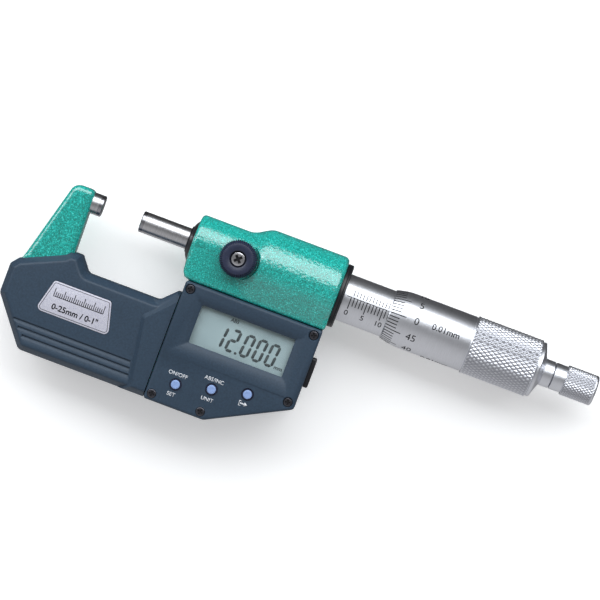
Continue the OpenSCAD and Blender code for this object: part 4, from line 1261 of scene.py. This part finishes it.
# the measuring range under a generic scale, with a thin line round the plate
label_marks = [laid(letters('0-25mm / 0-1"', 1.75, weight=0.055), label_x, label_y - 2.4, level(foil_z))]
for k in range(26):
    tall = 2.4 if k % 5 == 0 else 1.3
    label_marks.append(printed(label_x + (k - 12.5) * 0.62, label_y + 0.6, label_y + 0.6 + tall, 0.11))
label_marks.append(printed(label_x, label_y + 0.44, label_y + 0.66, 7.82))
rim_out, rim_in = rounded(grown(label_path, -0.45), 8), rounded(grown(label_path, -0.6), 8)
low_z, high_z = foil_z - 0.05, foil_z + 0.025
label_marks.append(loft([
    [(x, y, low_z) for x, y in rim_in], [(x, y, low_z) for x, y in rim_out],
    [(x, y, high_z) for x, y in rim_out], [(x, y, high_z) for x, y in rim_in],
], wrap=True))
piece("label_marks", merged(label_marks), "root", "black_plastic", material=INK, smooth=180)


# ---- stage, light and camera

scene = bpy.context.scene
scene.view_settings.view_transform = "Standard"
scene.view_settings.look = "None"

floor_shader = Shader("studio_floor", Roughness=0.9, Emission_Color=(1, 1, 1, 1), Emission_Strength=0.3)
paper = [(0.3, (0.90, 0.90, 0.90)), (0.7, (0.92, 0.92, 0.92))]
floor_shader.colour(floor_shader.ramp(floor_shader.noise(0.01, 2), paper))
floor_bm = bmesh.new()
bmesh.ops.create_grid(floor_bm, x_segments=2, y_segments=2, size=4000)
bmesh.ops.translate(floor_bm, verts=floor_bm.verts, vec=(0, 0, back_z - 0.02))
floor = raw_object("studio_floor", floor_bm)
floor.data.transform(Matrix.Scale(MM, 4))
floor.data.materials.append(floor_shader.material)
floor.visible_glossy = False

world = bpy.data.worlds.new("studio")
scene.world = world
world.use_nodes = True
tree = world.node_tree
place = tree.nodes.new("ShaderNodeTexCoord")
split = tree.nodes.new("ShaderNodeSeparateXYZ")
tree.links.new(place.outputs["Generated"], split.inputs[0])


def world_grey(axis, stops):
    """Grey of the surroundings along one axis, through (position, grey) stops from -1 to 1."""
    spread = tree.nodes.new("ShaderNodeMapRange")
    spread.inputs["From Min"].default_value = -1
    tree.links.new(split.outputs[axis], spread.inputs["Value"])
    node = tree.nodes.new("ShaderNodeValToRGB")
    set_stops(node.color_ramp.elements, [((at + 1) / 2, (grey, grey, grey * 1.02)) for at, grey in stops])
    tree.links.new(spread.outputs["Result"], node.inputs["Fac"])
    return node.outputs["Color"]


# overhead and sides, then the light thrown up from below, joined at the horizon
above = world_grey("Y", [
    (-1, 0.58), (-0.6, 0.50), (-0.25, 0.28), (0, 0.16), (0.3, 0.36), (0.85, 0.38), (0.96, 0.2), (1, 0.06),
])
below = world_grey("Y", [(-1, 0.58), (-0.5, 0.46), (-0.1, 0.2), (0.3, 0.06), (1, 0.05)])
rise = world_grey("Z", [(-0.05, 0), (0.03, 1)])
both = tree.nodes.new("ShaderNodeMix")
both.data_type = "RGBA"
tree.links.new(rise, both.inputs[0])
tree.links.new(below, both.inputs[6])
tree.links.new(above, both.inputs[7])
tree.links.new(both.outputs[2], tree.nodes["Background"].inputs["Color"])

# the point in the middle of the picture, in metres, as are the lights and the camera
centre = Vector((64.4, -5.4, 0)) * MM


def soft_box(name, direction, width, height, power):
    """Rectangular light that faces the centre from a direction."""
    light = bpy.data.lights.new(name, "AREA")
    light.shape = "RECTANGLE"
    light.size, light.size_y, light.energy = width, height, power
    light.color = (0.95, 0.98, 1.0)
    obj = bpy.data.objects.new(name, light)
    scene.collection.objects.link(obj)
    away = Vector(direction).normalized()
    obj.location = centre + away * LIGHT_AWAY
    obj.rotation_mode = "QUATERNION"
    obj.rotation_quaternion = away.to_track_quat("Z", "Y")
    return obj


# a long light over the top for the highlights, and a small one that draws the left edges
LIGHT_AWAY = 0.9
lean = math.radians(47)
soft_box("key", (0, math.sin(lean), math.cos(lean)), 1.8, 0.75, 12.5)
soft_box("edge", (-0.8, 0.3, 0.5), 0.5, 0.5, 2.4)

# the photo's angle: the object turned in the picture and seen from slightly over its top edge
CAMERA_AWAY = 0.8
turn, tilt = math.radians(20.6), math.radians(2.6)
back = Vector((0, math.sin(tilt), math.cos(tilt)))
side = Vector((math.cos(turn), math.sin(turn), 0))
side = (side - back * side.dot(back)).normalized()
up = back.cross(side)
camera = bpy.data.objects.new("camera", bpy.data.cameras.new("camera"))
scene.collection.objects.link(camera)
camera.data.sensor_width = 36
camera.data.lens = 161.3
camera.data.clip_start, camera.data.clip_end = 0.01, 20
facing = Matrix((side, up, back)).transposed().to_4x4()
camera.matrix_world = Matrix.Translation(centre + back * CAMERA_AWAY) @ facing
scene.camera = camera
